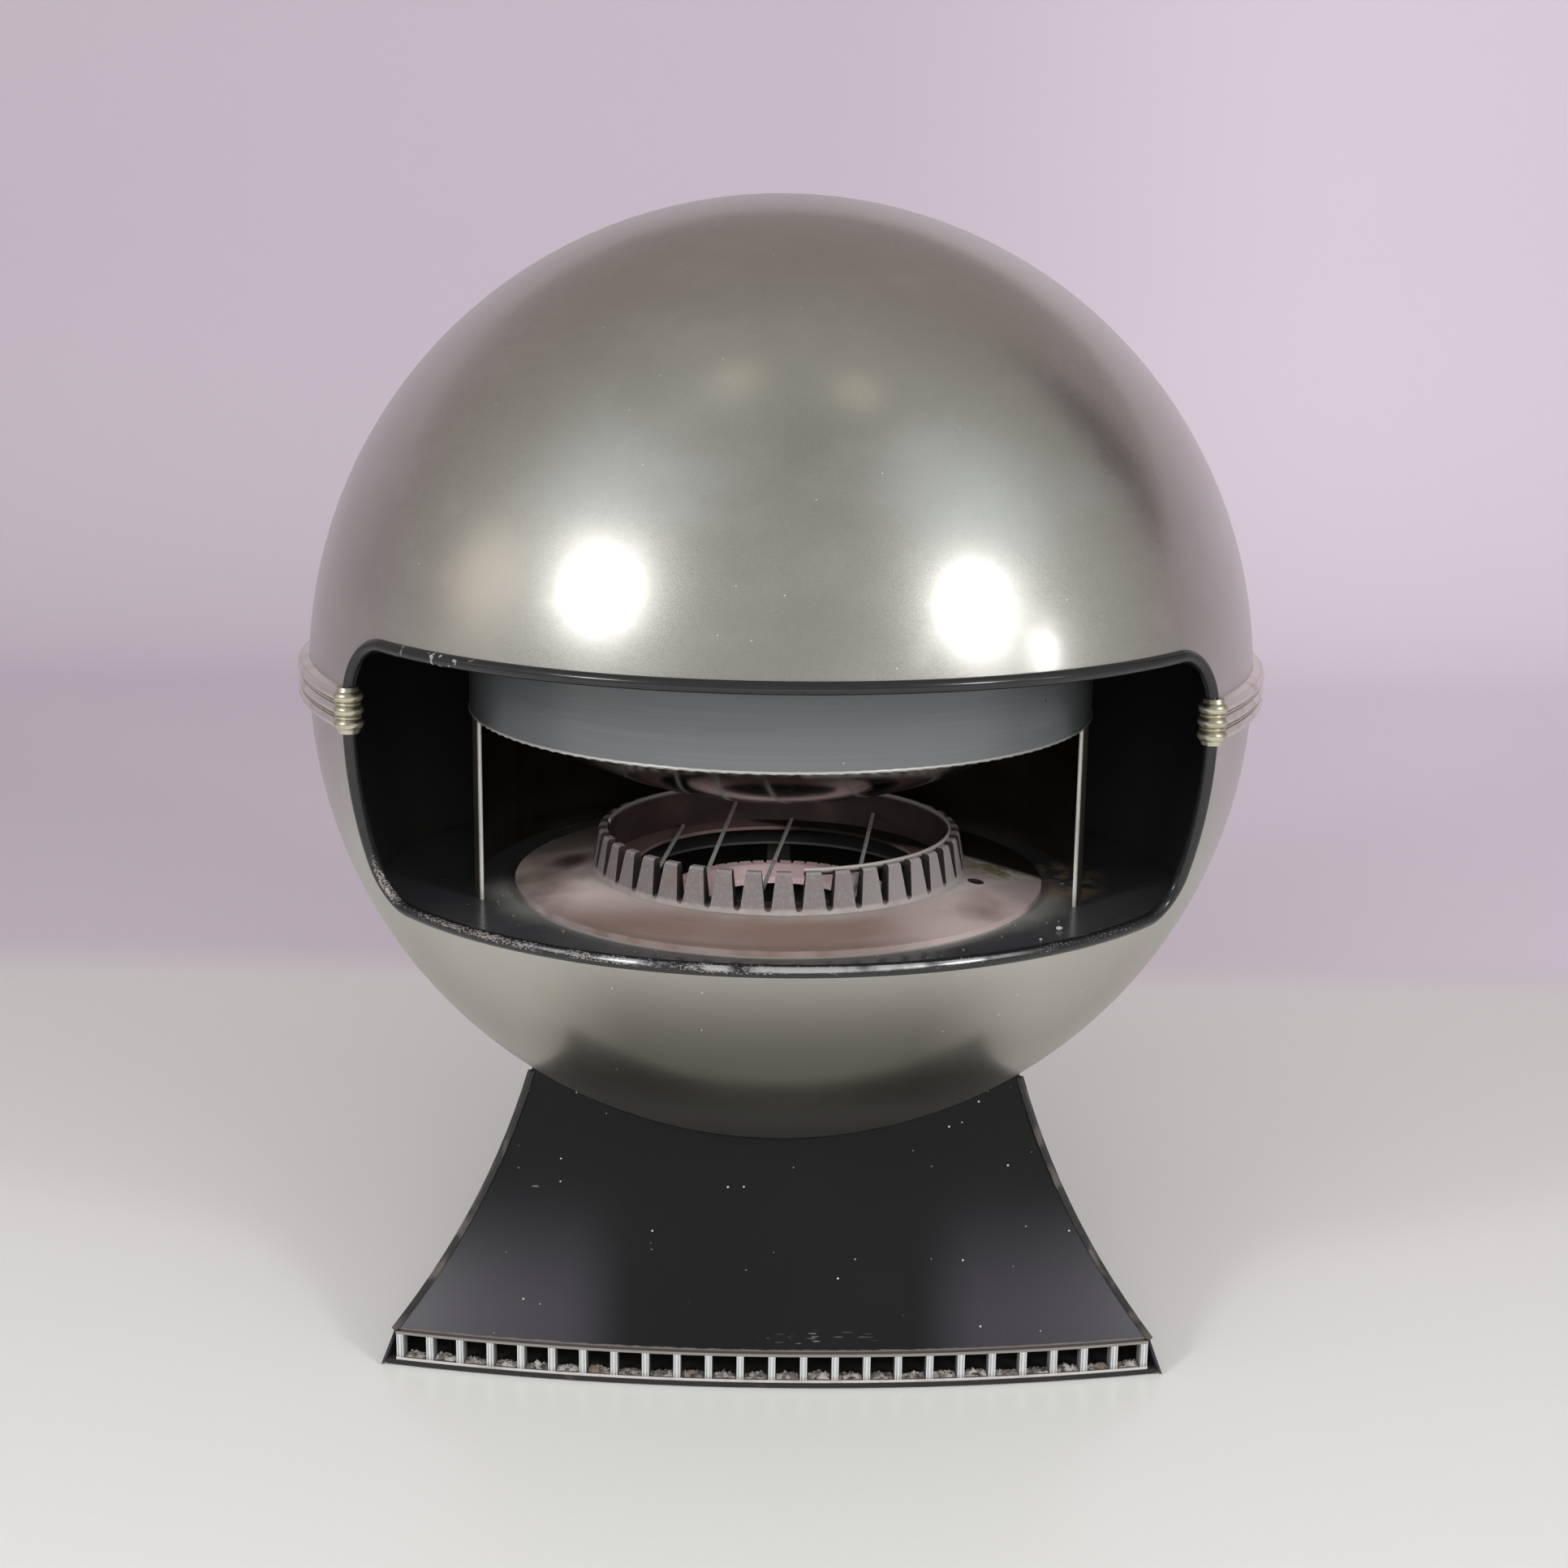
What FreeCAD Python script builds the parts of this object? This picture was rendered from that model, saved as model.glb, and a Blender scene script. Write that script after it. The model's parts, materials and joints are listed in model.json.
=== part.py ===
"""Ball-shaped gas space heater on a three-sided flared base.

Millimetres, +Z up. The origin is on the floor below the ball's centre and the fire mouth faces -Y.
Azimuths are degrees round the ball from the front, growing towards +X.
"""
import FreeCAD, Part
import math
import os

from FreeCAD import Vector

# Ball
BALL_RADIUS = 335.0
BALL_LIFT = 137.0
SHELL_WALL = 1.5
AIR_HOLE_RADIUS = 76.0

# Fire mouth, measured from the ball's centre
MOUTH_TOP = 53.0
MOUTH_BOTTOM = 128.0
MOUTH_HALF_ANGLE = 57.2
MOUTH_TOP_CORNER = 42.0
MOUTH_BOTTOM_CORNER = 30.0
BEAD_DIAMETER = 8.5

# Equator trim and the joint behind it
TRIM_HEIGHT = 28.5
TRIM_RISE = 5.0
TRIM_CREST = 7.5
TRIM_GROOVE = 5.0
TRIM_RIDGES = 3
RIDGE_HEIGHT = 7.0
THIN_BEAD_HEIGHT = 2.0
THIN_BEAD_PROUD = 0.9
CAP_CREST_RADIUS = 9.8
CAP_GROOVE_RADIUS = 7.7
CAP_END_RADIUS = 6.8
CAP_END_HEIGHT = 2.8
JOINT_RING_HEIGHT = 26.0
JOINT_RING_WALL = 3.0
JOINT_RING_END_ANGLE = 4.0
JOINT_SCREWS = 7
JOINT_SCREW_DIAMETER = 4.0
JOINT_SCREW_HEAD = 8.0
JOINT_SCREW_HEAD_HEIGHT = 3.0
JOINT_SCREW_BITE = 4.0

# Hearth
HEARTH_DROP = 156.0
HEARTH_WALL = 2.0
WELL_MARGIN = 18.0
FIT_GAP = 0.3
HEARTH_BRACKETS = 5
HEARTH_BRACKET_WIDTH = 24.0
HEARTH_BRACKET_DEPTH = 20.0
HEARTH_BRACKET_HEIGHT = 18.0

# Burner plate, flame crown and grate
PLATE_RADIUS = 193.0
PLATE_RIM_HEIGHT = 4.0
PLATE_HEIGHT = 12.0
PLATE_WALL = 2.5
PLATE_SEAT_MARGIN = 4.0
PEEP_HOLE_RADIUS = 5.0
PEEP_HOLE_OFFSET = 148.0
PEEP_HOLE_AZIMUTH = 73.8
CROWN_RADIUS = 137.0
CROWN_TOP_RADIUS = 132.0
CROWN_WALL = 11.0
CROWN_HEIGHT = 28.5
CROWN_CHAMFER = 1.5
CROWN_TEETH = 40
CROWN_PHASE = 1.6
SLOT_FLOOR = 2.0
SLOT_BOTTOM_RADIUS = 2.4
SLOT_TOP_WIDTH = 10.5
LINER_WALL = 1.5
LINER_RISE = 1.5
LINER_LEFT_AZIMUTH = -92.0
LINER_RIGHT_AZIMUTH = 82.0
HOOP_AZIMUTH = 8.0
HOOP_HEIGHT = 5.0
WIRE_DIAMETER = 3.0
WIRE_YAW = 6.0
WIRE_OFFSETS = (-84.0, -46.0, -3.0, 62.0)
WIRE_BACK_RISES = (0.0, 14.0, 0.0, 11.0)

# Burner under the well
BURNER_DROP = 165.0
BURNER_RADIUS = 86.0
BURNER_CAP_HEIGHT = 10.0
BURNER_HOLE_RADIUS = 52.0
BURNER_PORTS = 48
PORT_WIDTH = 2.4
PORT_DEPTH = 4.0
PORT_LENGTH = 16.0
PAN_HEIGHT = 28.0
PAN_WALL = 2.0
HANGER_WIDTH = 18.0
HANGER_WALL = 2.5
HANGER_COUNT = 3
VENTURI_DIAMETER = 30.0
VENTURI_LENGTH = 64.0
VENTURI_WALL = 2.0
VENTURI_WINDOW_HEIGHT = 18.0
VENTURI_WINDOW_WIDTH = 12.0
VENTURI_WINDOWS = 4
VENTURI_COLLAR = 8.0
INJECTOR_DIAMETER = 14.0
INJECTOR_JET_DIAMETER = 7.0
INJECTOR_JET_LENGTH = 14.0

# Pilot group
PILOT_GAP = 8.0
PILOT_AZIMUTH = 30.0
PILOT_SPACING_ANGLE = 9.0
PILOT_DIAMETER = 9.0
PILOT_LENGTH = 30.0
PILOT_RISE = 8.0
PROBE_DIAMETER = 5.0
PROBE_LENGTH = 40.0
PROBE_RISE = 14.0
ELECTRODE_DIAMETER = 7.0
ELECTRODE_LENGTH = 26.0
ELECTRODE_TIP_DIAMETER = 2.0
ELECTRODE_TIP_LENGTH = 16.0
PILOT_BRACKET_WALL = 2.5
PILOT_BRACKET_WIDTH = 44.0
PILOT_PIPE_DIAMETER = 4.0
PROBE_LEAD_DIAMETER = 3.0
IGNITION_LEAD_DIAMETER = 5.0
LEAD_BEND = 15.0
LEAD_STUB = 16.0
LEAD_DROP = 28.0
LEAD_SHIFT = 14.0
THROAT_RADIUS = 61.0
THROAT_DROP = 12.0
THROAT_AZIMUTH = 80.0
THROAT_SPACING_ANGLE = 20.0

# Reflector, hood, bowl and flue
HOOD_RADIUS = 224.0
HOOD_WALL = 1.5
HOOD_RIM_DROP = 23.5
HOOD_RIM_BEAD = 3.0
HOOD_SKIRT_TOP = 72.0
HOOD_NECK_FOOT = 104.0
HOOD_NECK_TOP = 122.0
REFLECTOR_WALL = 1.0
REFLECTOR_HALF_ANGLE = 72.7
REFLECTOR_HEM = 3.0
REFLECTOR_OVERLAP = 14.0
BOWL_SPHERE_RADIUS = 360.0
BOWL_DROP = 88.5
BOWL_RIM_RADIUS = 205.0
BOWL_WALL = 1.5
BOWL_HANGERS = 3
BOWL_HANGER_DIAMETER = 8.0
BOWL_HANGER_OFFSET = 120.0
HOOD_BRACKET_WIDTH = 24.0
HOOD_BRACKET_WALL = 3.0
HOOD_BRACKET_LIFT = 62.0
HOOD_BRACKET_AZIMUTHS = (-100.0, 100.0, 180.0)
FLUE_RADIUS = 50.0
FLUE_WALL = 1.5
FLUE_LIFT = 210.0
FLUE_BEND_RADIUS = 80.0
COLLAR_RADIUS = 58.0
COLLAR_WALL = 1.5
COLLAR_INSIDE = 14.5
COLLAR_PROUD = 3.0
SPIGOT_STEP = 0.8
SPIGOT_LENGTH = 42.0
SPIGOT_INSERT = 28.0

# Three-sided base: corner radii about the ball's axis, and heights above the floor
SIDES = 3
CORNER_RADIUS_FLOOR = 318.0
SIDE_BULGE = 30.0
FLARE_BOTTOM_RADIUS = 307.0
FLARE_BOTTOM_Z = 26.0
FLARE_MIDDLE_RADIUS = 250.0
FLARE_MIDDLE_Z = 97.0
FLARE_TOP_RADIUS = 200.0
FLARE_TOP_GAP = 3.25
PANEL_WALL = 1.5
SEAT_GAP = 0.4
SEAT_OVERRUN = 12.0
STRIP_WIDTH = 5.0
STRIP_PROUD = 1.6
TRAY_HEIGHT = 4.5
TRAY_WALL = 2.0
TRAY_RADIUS = 316.0
FLOOR_GAP = 1.0
FOOT_RADIUS = 14.0
FOOT_OFFSET = 262.0
GRILLE_RADIUS = 313.0
GRILLE_DEPTH = 9.0
GRILLE_END_INSET = 4.3
RAIL_HEIGHT = 2.0
TOP_RAIL_HEIGHT = 2.0
SLATS = 25
SLAT_WIDTH = 4.8
SLAT_RIB = 0.8
SADDLE_INNER_RADIUS = 90.0
SADDLE_OUTER_RADIUS = 104.0
SADDLE_HEIGHT = 14.0
LEG_WIDTH = 34.0
LEG_WALL = 6.0
LEG_FOOT = 30.0

# Controls on the right-hand rear panel
CONTROL_AZIMUTH = 120.0
CONTROL_Z = 92.0
CONTROL_TILT = 22.0
PLATE_LENGTH = 124.0
PLATE_BREADTH = 58.0
PLATE_SHIFT = -22.0
PLATE_PROUD = 2.5
KNOB_RADIUS = 20.0
KNOB_DEPTH = 17.0
KNOB_FLUTES = 14
KNOB_FLUTE_RADIUS = 2.2
KNOB_LIFT = 5.0
KNOB_CREST_WIDTH = 7.0
KNOB_CREST_DEPTH = 5.0
KNOB_CREST_MARGIN = 1.5
SPINDLE_RADIUS = 4.0
SPINDLE_GRIP = 11.0
RUNNING_CLEARANCE = 0.05
VALVE_WIDTH = 42.0
VALVE_BREADTH = 38.0
VALVE_LENGTH = 48.0
VALVE_SETBACK = 8.0
VALVE_NOSE_RADIUS = 9.0
PORT_BOSS_RADIUS = 9.0
PORT_BOSS_LENGTH = 8.0
PLUNGER_RADIUS = 8.0
PLUNGER_LENGTH = 8.0
PLUNGER_TRAVEL = 4.0
PLUNGER_DEPTH = 24.0
IGNITER_SHIFT = -52.0
IGNITER_RADIUS = 9.0
IGNITER_LENGTH = 60.0
IGNITER_COLLAR = 4.0
BUTTON_RADIUS = 6.5
BUTTON_PROUD = 6.0
BUTTON_GUIDE = 12.0
BUTTON_TRAVEL = 5.0
BUTTON_EDGE = 1.5
BRACKET_WALL = 3.0
SUPPLY_DIAMETER = 10.0
SUPPLY_Z = 52.0
SUPPLY_BEND = 20.0
INLET_DIAMETER = 12.0
INLET_RUN = 60.0
INLET_BEND = 30.0
INLET_AZIMUTH = 240.0
INLET_PROUD = 6.0
HEX_SIDES = 6
UNION_HEX_RADIUS = 13.0
UNION_HEX_LENGTH = 10.0
UNION_THREAD_RADIUS = 8.3
UNION_THREAD_LENGTH = 15.0

UP = Vector(0, 0, 1)
ORIGIN = Vector(0, 0, 0)
BALL_CENTRE_Z = BALL_LIFT + BALL_RADIUS
TRIM_MIDDLE_Z = BALL_CENTRE_Z + TRIM_RISE
RIDGE_STACK = TRIM_RIDGES * RIDGE_HEIGHT + (TRIM_RIDGES - 1) * THIN_BEAD_HEIGHT
CENTRE = Vector(0, 0, BALL_CENTRE_Z)
INNER_RADIUS = BALL_RADIUS - SHELL_WALL
HEARTH_Z = BALL_CENTRE_Z - HEARTH_DROP
PLATE_TOP = HEARTH_Z + PLATE_HEIGHT
CROWN_TOP = PLATE_TOP + CROWN_HEIGHT
CROWN_BORE = CROWN_RADIUS - CROWN_WALL
HOOD_RIM_Z = BALL_CENTRE_Z - HOOD_RIM_DROP
WELL_RADIUS = BURNER_RADIUS + WELL_MARGIN
PILOT_REACH = BURNER_RADIUS + PILOT_GAP
BURNER_TOP = BALL_CENTRE_Z - BURNER_DROP
PAN_TOP = BURNER_TOP - BURNER_CAP_HEIGHT
PAN_FLOOR = PAN_TOP - PAN_HEIGHT
VENTURI_FOOT = PAN_FLOOR - VENTURI_LENGTH
FLUE_Z = BALL_CENTRE_Z + FLUE_LIFT
SIDE_ANGLE = 360.0 / SIDES
FRONT, RIGHT_REAR, LEFT_REAR = 0.0, SIDE_ANGLE, -SIDE_ANGLE


def polar(radius, azimuth, z):
    """Point at a radius and azimuth about the ball's axis."""
    angle = math.radians(azimuth)
    return Vector(radius * math.sin(angle), -radius * math.cos(angle), z)


def ball_reach(z, radius=BALL_RADIUS):
    """Distance from the ball's axis to a sphere about its centre, at a height."""
    return math.sqrt(radius**2 - (z - BALL_CENTRE_Z) ** 2)


def ball_floor(reach, radius=BALL_RADIUS):
    """Height of the underside of a sphere about the ball's centre, at a distance from its axis."""
    return BALL_CENTRE_Z - math.sqrt(radius**2 - reach**2)


def outline(start, *steps):
    """Face inside a loop: a point is a straight run, a pair of points an arc through the first."""
    edges = []
    here = start
    for step in steps:
        if isinstance(step, tuple):
            edges.append(Part.Arc(here, step[0], step[1]).toShape())
            here = step[1]
        else:
            edges.append(Part.LineSegment(here, step).toShape())
            here = step
    if here.distanceToPoint(start) > 1e-6:
        edges.append(Part.LineSegment(here, start).toShape())
    return Part.Face(Part.Wire(edges))


def turned(start, *steps, azimuth=0.0, sweep=360.0):
    """Solid of revolution about the ball's axis, from (radius, height) pairs."""

    def lift(step):
        if isinstance(step[0], tuple):
            return tuple(polar(radius, azimuth, z) for radius, z in step)
        return polar(step[0], azimuth, step[1])

    return outline(lift(start), *[lift(step) for step in steps]).revolve(ORIGIN, UP, sweep)


def ring(inner, outer, bottom, top):
    """Plain upright ring about the ball's axis."""
    return turned((inner, bottom), (outer, bottom), (outer, top), (inner, top))


def rod(start, end, diameter):
    """Round bar between two points."""
    run = end - start
    return Part.makeCylinder(diameter / 2, run.Length, start, run)


def block(width, depth, bottom, top, reach, azimuth):
    """Upright block whose middle stands at a reach and azimuth: width across, depth outward."""
    box = Part.makeBox(width, depth, top - bottom, Vector(-width / 2, -depth / 2 - reach, bottom))
    box.rotate(ORIGIN, UP, azimuth)
    return box


def bent(points, bend):
    """Path of straight runs with a tangent arc of one radius at each inner point."""
    edges = []
    here = points[0]
    for before, corner, after in zip(points, points[1:], points[2:]):
        back = (before - corner).normalize()
        ahead = (after - corner).normalize()
        half = back.getAngle(ahead) / 2
        setback = bend / math.tan(half)
        inward = (back + ahead).normalize()
        middle = corner + inward * (bend / math.sin(half) - bend)
        edges.append(Part.LineSegment(here, corner + back * setback).toShape())
        here = corner + ahead * setback
        edges.append(Part.Arc(corner + back * setback, middle, here).toShape())
    edges.append(Part.LineSegment(here, points[-1]).toShape())
    return Part.Wire(edges)


def tube(points, bend, diameter, bore=0.0):
    """Round pipe along a bent path, hollow where a bore is given."""
    path = bent(points, bend)
    start = points[0]
    heading = points[1] - points[0]

    def swept(size):
        circle = Part.Wire(Part.makeCircle(size / 2, start, heading))
        return path.makePipeShell([circle], True, False)

    return swept(diameter).cut(swept(bore)) if bore else swept(diameter)


def repeated(shape, count, first=0.0):
    """Copies of a shape spaced evenly round the ball's axis."""
    copies = []
    for index in range(count):
        copy = shape.copy()
        copy.rotate(ORIGIN, UP, first + index * 360.0 / count)
        copies.append(copy)
    return copies


def ridges(base, crest, top):
    """Arc steps for the moulding's rounded ridges with a thin bead in each groove, going down from a height."""
    ridge = (crest, RIDGE_HEIGHT)
    bead = (base + THIN_BEAD_PROUD, THIN_BEAD_HEIGHT)
    steps = []
    for reach, height in [ridge, bead] * (TRIM_RIDGES - 1) + [ridge]:
        steps.append(((reach, top - height / 2), (base, top - height)))
        top -= height
    return steps


# Ball


def dome(sign):
    """Half of the ball's sheet: above the equator for +1, below it for -1."""
    slant = math.sqrt(0.5)

    def at(radius, across, along):
        return (radius * across, BALL_CENTRE_Z + sign * radius * along)

    return turned(
        at(BALL_RADIUS, 1, 0),
        (at(BALL_RADIUS, slant, slant), at(BALL_RADIUS, 0, 1)),
        at(INNER_RADIUS, 0, 1),
        (at(INNER_RADIUS, slant, slant), at(INNER_RADIUS, 1, 0)),
    )


def mouth_cutter():
    """Block that clears the fire mouth: latitude planes, meridian sides and rounded corners."""
    reach = BALL_RADIUS + BEAD_DIAMETER
    bottom = BALL_CENTRE_Z - MOUTH_BOTTOM
    bore = ball_reach(bottom, INNER_RADIUS) - MOUTH_BOTTOM_CORNER
    sector = Part.makeCylinder(
        reach, MOUTH_TOP + MOUTH_BOTTOM, Vector(0, 0, bottom), UP, 2 * MOUTH_HALF_ANGLE
    )
    sector.rotate(ORIGIN, UP, -90 - MOUTH_HALF_ANGLE)
    sector = sector.cut(Part.makeCylinder(bore, 2 * BALL_CENTRE_Z))
    for z, radius in ((bottom, MOUTH_BOTTOM_CORNER), (BALL_CENTRE_Z + MOUTH_TOP, MOUTH_TOP_CORNER)):
        edges = [
            edge
            for edge in sector.Edges
            if isinstance(edge.Curve, Part.Line) and all(abs(v.Z - z) < 1e-6 for v in edge.Vertexes)
        ]
        sector = sector.makeFillet(radius, edges)
    return sector


def mouth_corner(side, latitude, height, radius):
    """Corner arc of the mouth on the mid-sheet sphere, as its meridian end, middle and latitude end."""
    sphere = BALL_RADIUS - SHELL_WALL / 2
    spread = math.asin(radius / sphere)
    middle_latitude = math.asin(latitude / sphere) - math.copysign(spread, height)
    swing = math.asin(math.sin(spread) / math.cos(middle_latitude))
    azimuth = math.radians(MOUTH_HALF_ANGLE) - swing

    def on_ball(lat, az):
        z = BALL_CENTRE_Z + sphere * math.sin(lat)
        return polar(sphere * math.cos(lat), side * math.degrees(az), z)

    foot = math.atan2(math.sin(middle_latitude), math.cos(middle_latitude) * math.cos(swing))
    on_meridian = on_ball(foot, math.radians(MOUTH_HALF_ANGLE))
    on_latitude = on_ball(math.asin(latitude / sphere), azimuth)
    heart = CENTRE + (on_ball(middle_latitude, azimuth) - CENTRE) * math.cos(spread)
    outward = ((on_meridian + on_latitude) * 0.5 - heart).normalize()
    return on_meridian, heart + outward * radius, on_latitude


def mouth_bead():
    """Round edge strip that runs all the way round the fire mouth, in the line of the sheet."""
    sphere = BALL_RADIUS - SHELL_WALL / 2
    top = [mouth_corner(side, MOUTH_TOP, 1, MOUTH_TOP_CORNER) for side in (-1, 1)]
    low = [mouth_corner(side, -MOUTH_BOTTOM, -1, MOUTH_BOTTOM_CORNER) for side in (-1, 1)]
    arcs = top + low
    for corners, height in ((top, MOUTH_TOP), (low, -MOUTH_BOTTOM)):
        z = BALL_CENTRE_Z + height
        arcs.append((corners[0][2], polar(ball_reach(z, sphere), 0, z), corners[1][2]))
    for index, side in enumerate((-1, 1)):
        middle = polar(sphere, side * MOUTH_HALF_ANGLE, BALL_CENTRE_Z)
        arcs.append((top[index][0], middle, low[index][0]))
    pieces = []
    for start, middle, end in arcs:
        edge = Part.Arc(start, middle, end).toShape()
        circle = Part.makeCircle(BEAD_DIAMETER / 2, start, edge.tangentAt(edge.FirstParameter))
        angle = math.degrees(edge.LastParameter - edge.FirstParameter)
        pieces.append(Part.Face(Part.Wire(circle)).revolve(edge.Curve.Center, edge.Curve.Axis, angle))
    return pieces[0].multiFuse(pieces[1:]).removeSplitter()


def trim_band():
    """Ridged moulding round the equator, from one side of the mouth round the back to the other."""
    low = TRIM_MIDDLE_Z - TRIM_HEIGHT / 2
    high = TRIM_MIDDLE_Z + TRIM_HEIGHT / 2
    ridge_top = TRIM_MIDDLE_Z + RIDGE_STACK / 2
    groove = BALL_RADIUS + TRIM_GROOVE
    return turned(
        (ball_reach(high), high),
        (groove, ridge_top),
        *ridges(groove, BALL_RADIUS + TRIM_CREST, ridge_top),
        (ball_reach(low), low),
        ((BALL_RADIUS, BALL_CENTRE_Z), (ball_reach(high), high)),
        azimuth=MOUTH_HALF_ANGLE,
        sweep=360 - 2 * MOUTH_HALF_ANGLE,
    )


def trim_cap(side):
    """Stack of rounded rings that closes an end of the trim band round the mouth bead."""
    half = RIDGE_STACK / 2
    end = half + CAP_END_HEIGHT
    cap = turned(
        (0, end),
        (CAP_END_RADIUS, end),
        (CAP_GROOVE_RADIUS, half),
        *ridges(CAP_GROOVE_RADIUS, CAP_CREST_RADIUS, half),
        (CAP_END_RADIUS, -end),
        (0, -end),
    )
    cap.translate(polar(BALL_RADIUS - SHELL_WALL / 2, side * MOUTH_HALF_ANGLE, TRIM_MIDDLE_Z))
    return cap


def joint_ring():
    """Strip inside the equator that joins the two halves of the ball."""
    half = JOINT_RING_HEIGHT / 2
    edge = ball_reach(BALL_CENTRE_Z + half, INNER_RADIUS)
    bore = INNER_RADIUS - JOINT_RING_WALL
    end = MOUTH_HALF_ANGLE + JOINT_RING_END_ANGLE
    return turned(
        (bore, BALL_CENTRE_Z - half),
        (edge, BALL_CENTRE_Z - half),
        ((INNER_RADIUS, BALL_CENTRE_Z), (edge, BALL_CENTRE_Z + half)),
        (bore, BALL_CENTRE_Z + half),
        azimuth=end,
        sweep=360 - 2 * end,
    )


def joint_screws():
    """Screws through the joint ring and the sheet into the trim band, heads inside the ball."""
    span = 360 - 2 * (MOUTH_HALF_ANGLE + JOINT_RING_END_ANGLE)
    head_face = INNER_RADIUS - JOINT_RING_WALL
    screws = []
    for index in range(JOINT_SCREWS):
        azimuth = 180 + span * ((index + 0.5) / JOINT_SCREWS - 0.5)
        seat = polar(head_face, azimuth, BALL_CENTRE_Z)
        outward = polar(1, azimuth, 0)
        length = JOINT_RING_WALL + SHELL_WALL + JOINT_SCREW_BITE
        shank = rod(seat, seat + outward * length, JOINT_SCREW_DIAMETER)
        head = rod(seat - outward * JOINT_SCREW_HEAD_HEIGHT, seat, JOINT_SCREW_HEAD)
        screws.append(shank.fuse(head).removeSplitter())
    return screws


# Hearth, burner plate and crown


def hearth_floor():
    """Black plate across the ball that carries the burner plate and the reflector."""
    bottom = HEARTH_Z - HEARTH_WALL
    edge = ball_reach(bottom, INNER_RADIUS) - FIT_GAP
    return ring(WELL_RADIUS, edge, bottom, HEARTH_Z)


def hearth_brackets():
    """Lugs on the inside of the lower shell that the hearth floor lies on."""
    top = HEARTH_Z - HEARTH_WALL
    reach = ball_reach(top, INNER_RADIUS) - HEARTH_BRACKET_DEPTH / 2
    lug = block(HEARTH_BRACKET_WIDTH, HEARTH_BRACKET_DEPTH, top - HEARTH_BRACKET_HEIGHT, top, reach, 0)
    lug = lug.common(Part.makeSphere(INNER_RADIUS, CENTRE))
    return repeated(lug, HEARTH_BRACKETS)


def burner_plate():
    """Dished plate round the burner well, with a peep hole beside the crown."""
    seat = CROWN_RADIUS + PLATE_SEAT_MARGIN
    inner_edge = PLATE_RADIUS - PLATE_WALL
    plate = turned(
        (PLATE_RADIUS, HEARTH_Z),
        (PLATE_RADIUS, HEARTH_Z + PLATE_RIM_HEIGHT),
        (seat, PLATE_TOP),
        (WELL_RADIUS, PLATE_TOP),
        (WELL_RADIUS, PLATE_TOP - PLATE_WALL),
        (seat, PLATE_TOP - PLATE_WALL),
        (inner_edge, HEARTH_Z + PLATE_RIM_HEIGHT - PLATE_WALL),
        (inner_edge, HEARTH_Z),
    )
    peep = polar(PEEP_HOLE_OFFSET, PEEP_HOLE_AZIMUTH, HEARTH_Z)
    return plate.cut(Part.makeCylinder(PEEP_HOLE_RADIUS, PLATE_HEIGHT, peep))


def crown_slot():
    """Cutter for one gap between teeth: round at the bottom and wider at the top."""
    floor = PLATE_TOP + SLOT_FLOOR
    shoulder = floor + SLOT_BOTTOM_RADIUS
    over = CROWN_TOP + SLOT_FLOOR
    front = -CROWN_RADIUS - SLOT_FLOOR
    face = outline(
        Vector(-SLOT_TOP_WIDTH / 2, front, over),
        Vector(-SLOT_BOTTOM_RADIUS, front, shoulder),
        (Vector(0, front, floor), Vector(SLOT_BOTTOM_RADIUS, front, shoulder)),
        Vector(SLOT_TOP_WIDTH / 2, front, over),
    )
    return face.extrude(Vector(0, CROWN_WALL + 2 * SLOT_FLOOR, 0))


def flame_crown():
    """Cast ring of tapering teeth."""
    crown = turned(
        (CROWN_BORE, PLATE_TOP),
        (CROWN_RADIUS, PLATE_TOP),
        (CROWN_TOP_RADIUS, CROWN_TOP - CROWN_CHAMFER),
        (CROWN_TOP_RADIUS - CROWN_CHAMFER, CROWN_TOP),
        (CROWN_BORE, CROWN_TOP),
    )
    half_pitch = 180.0 / CROWN_TEETH
    slots = repeated(crown_slot(), CROWN_TEETH, CROWN_PHASE + half_pitch)
    return crown.cut(Part.makeCompound(slots))


def liner_arc(start, end, bottom):
    """Stretch of the sheet guard inside the crown, going from one azimuth up to another."""
    outer = CROWN_BORE - FIT_GAP
    inner = outer - LINER_WALL
    top = CROWN_TOP + LINER_RISE
    corners = ((inner, bottom), (outer, bottom), (outer, top), (inner, top))
    return turned(*corners, azimuth=start, sweep=end - start)


def crown_liner():
    """Sheet guard behind the teeth: full height round the back, a narrow hoop at the right front."""
    wall = liner_arc(LINER_RIGHT_AZIMUTH, 360 + LINER_LEFT_AZIMUTH, PLATE_TOP)
    hoop = liner_arc(HOOP_AZIMUTH, LINER_RIGHT_AZIMUTH, CROWN_TOP + LINER_RISE - HOOP_HEIGHT)
    return wall.fuse(hoop).removeSplitter()


def grate_wires():
    """Loose wires that lie across the well on the burner plate, some leaning on the liner."""
    reach = CROWN_BORE - FIT_GAP - LINER_WALL - WIRE_DIAMETER
    bed = PLATE_TOP + WIRE_DIAMETER / 2
    wires = []
    for offset, rise in zip(WIRE_OFFSETS, WIRE_BACK_RISES):
        half = math.sqrt(reach**2 - offset**2)
        wire = rod(Vector(offset, -half, bed), Vector(offset, half, bed + rise), WIRE_DIAMETER)
        wire.rotate(ORIGIN, UP, -WIRE_YAW)
        wires.append(wire.cut(ring(0, PLATE_RADIUS, HEARTH_Z, PLATE_TOP)))
    return wires


# Burner below the well


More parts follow.
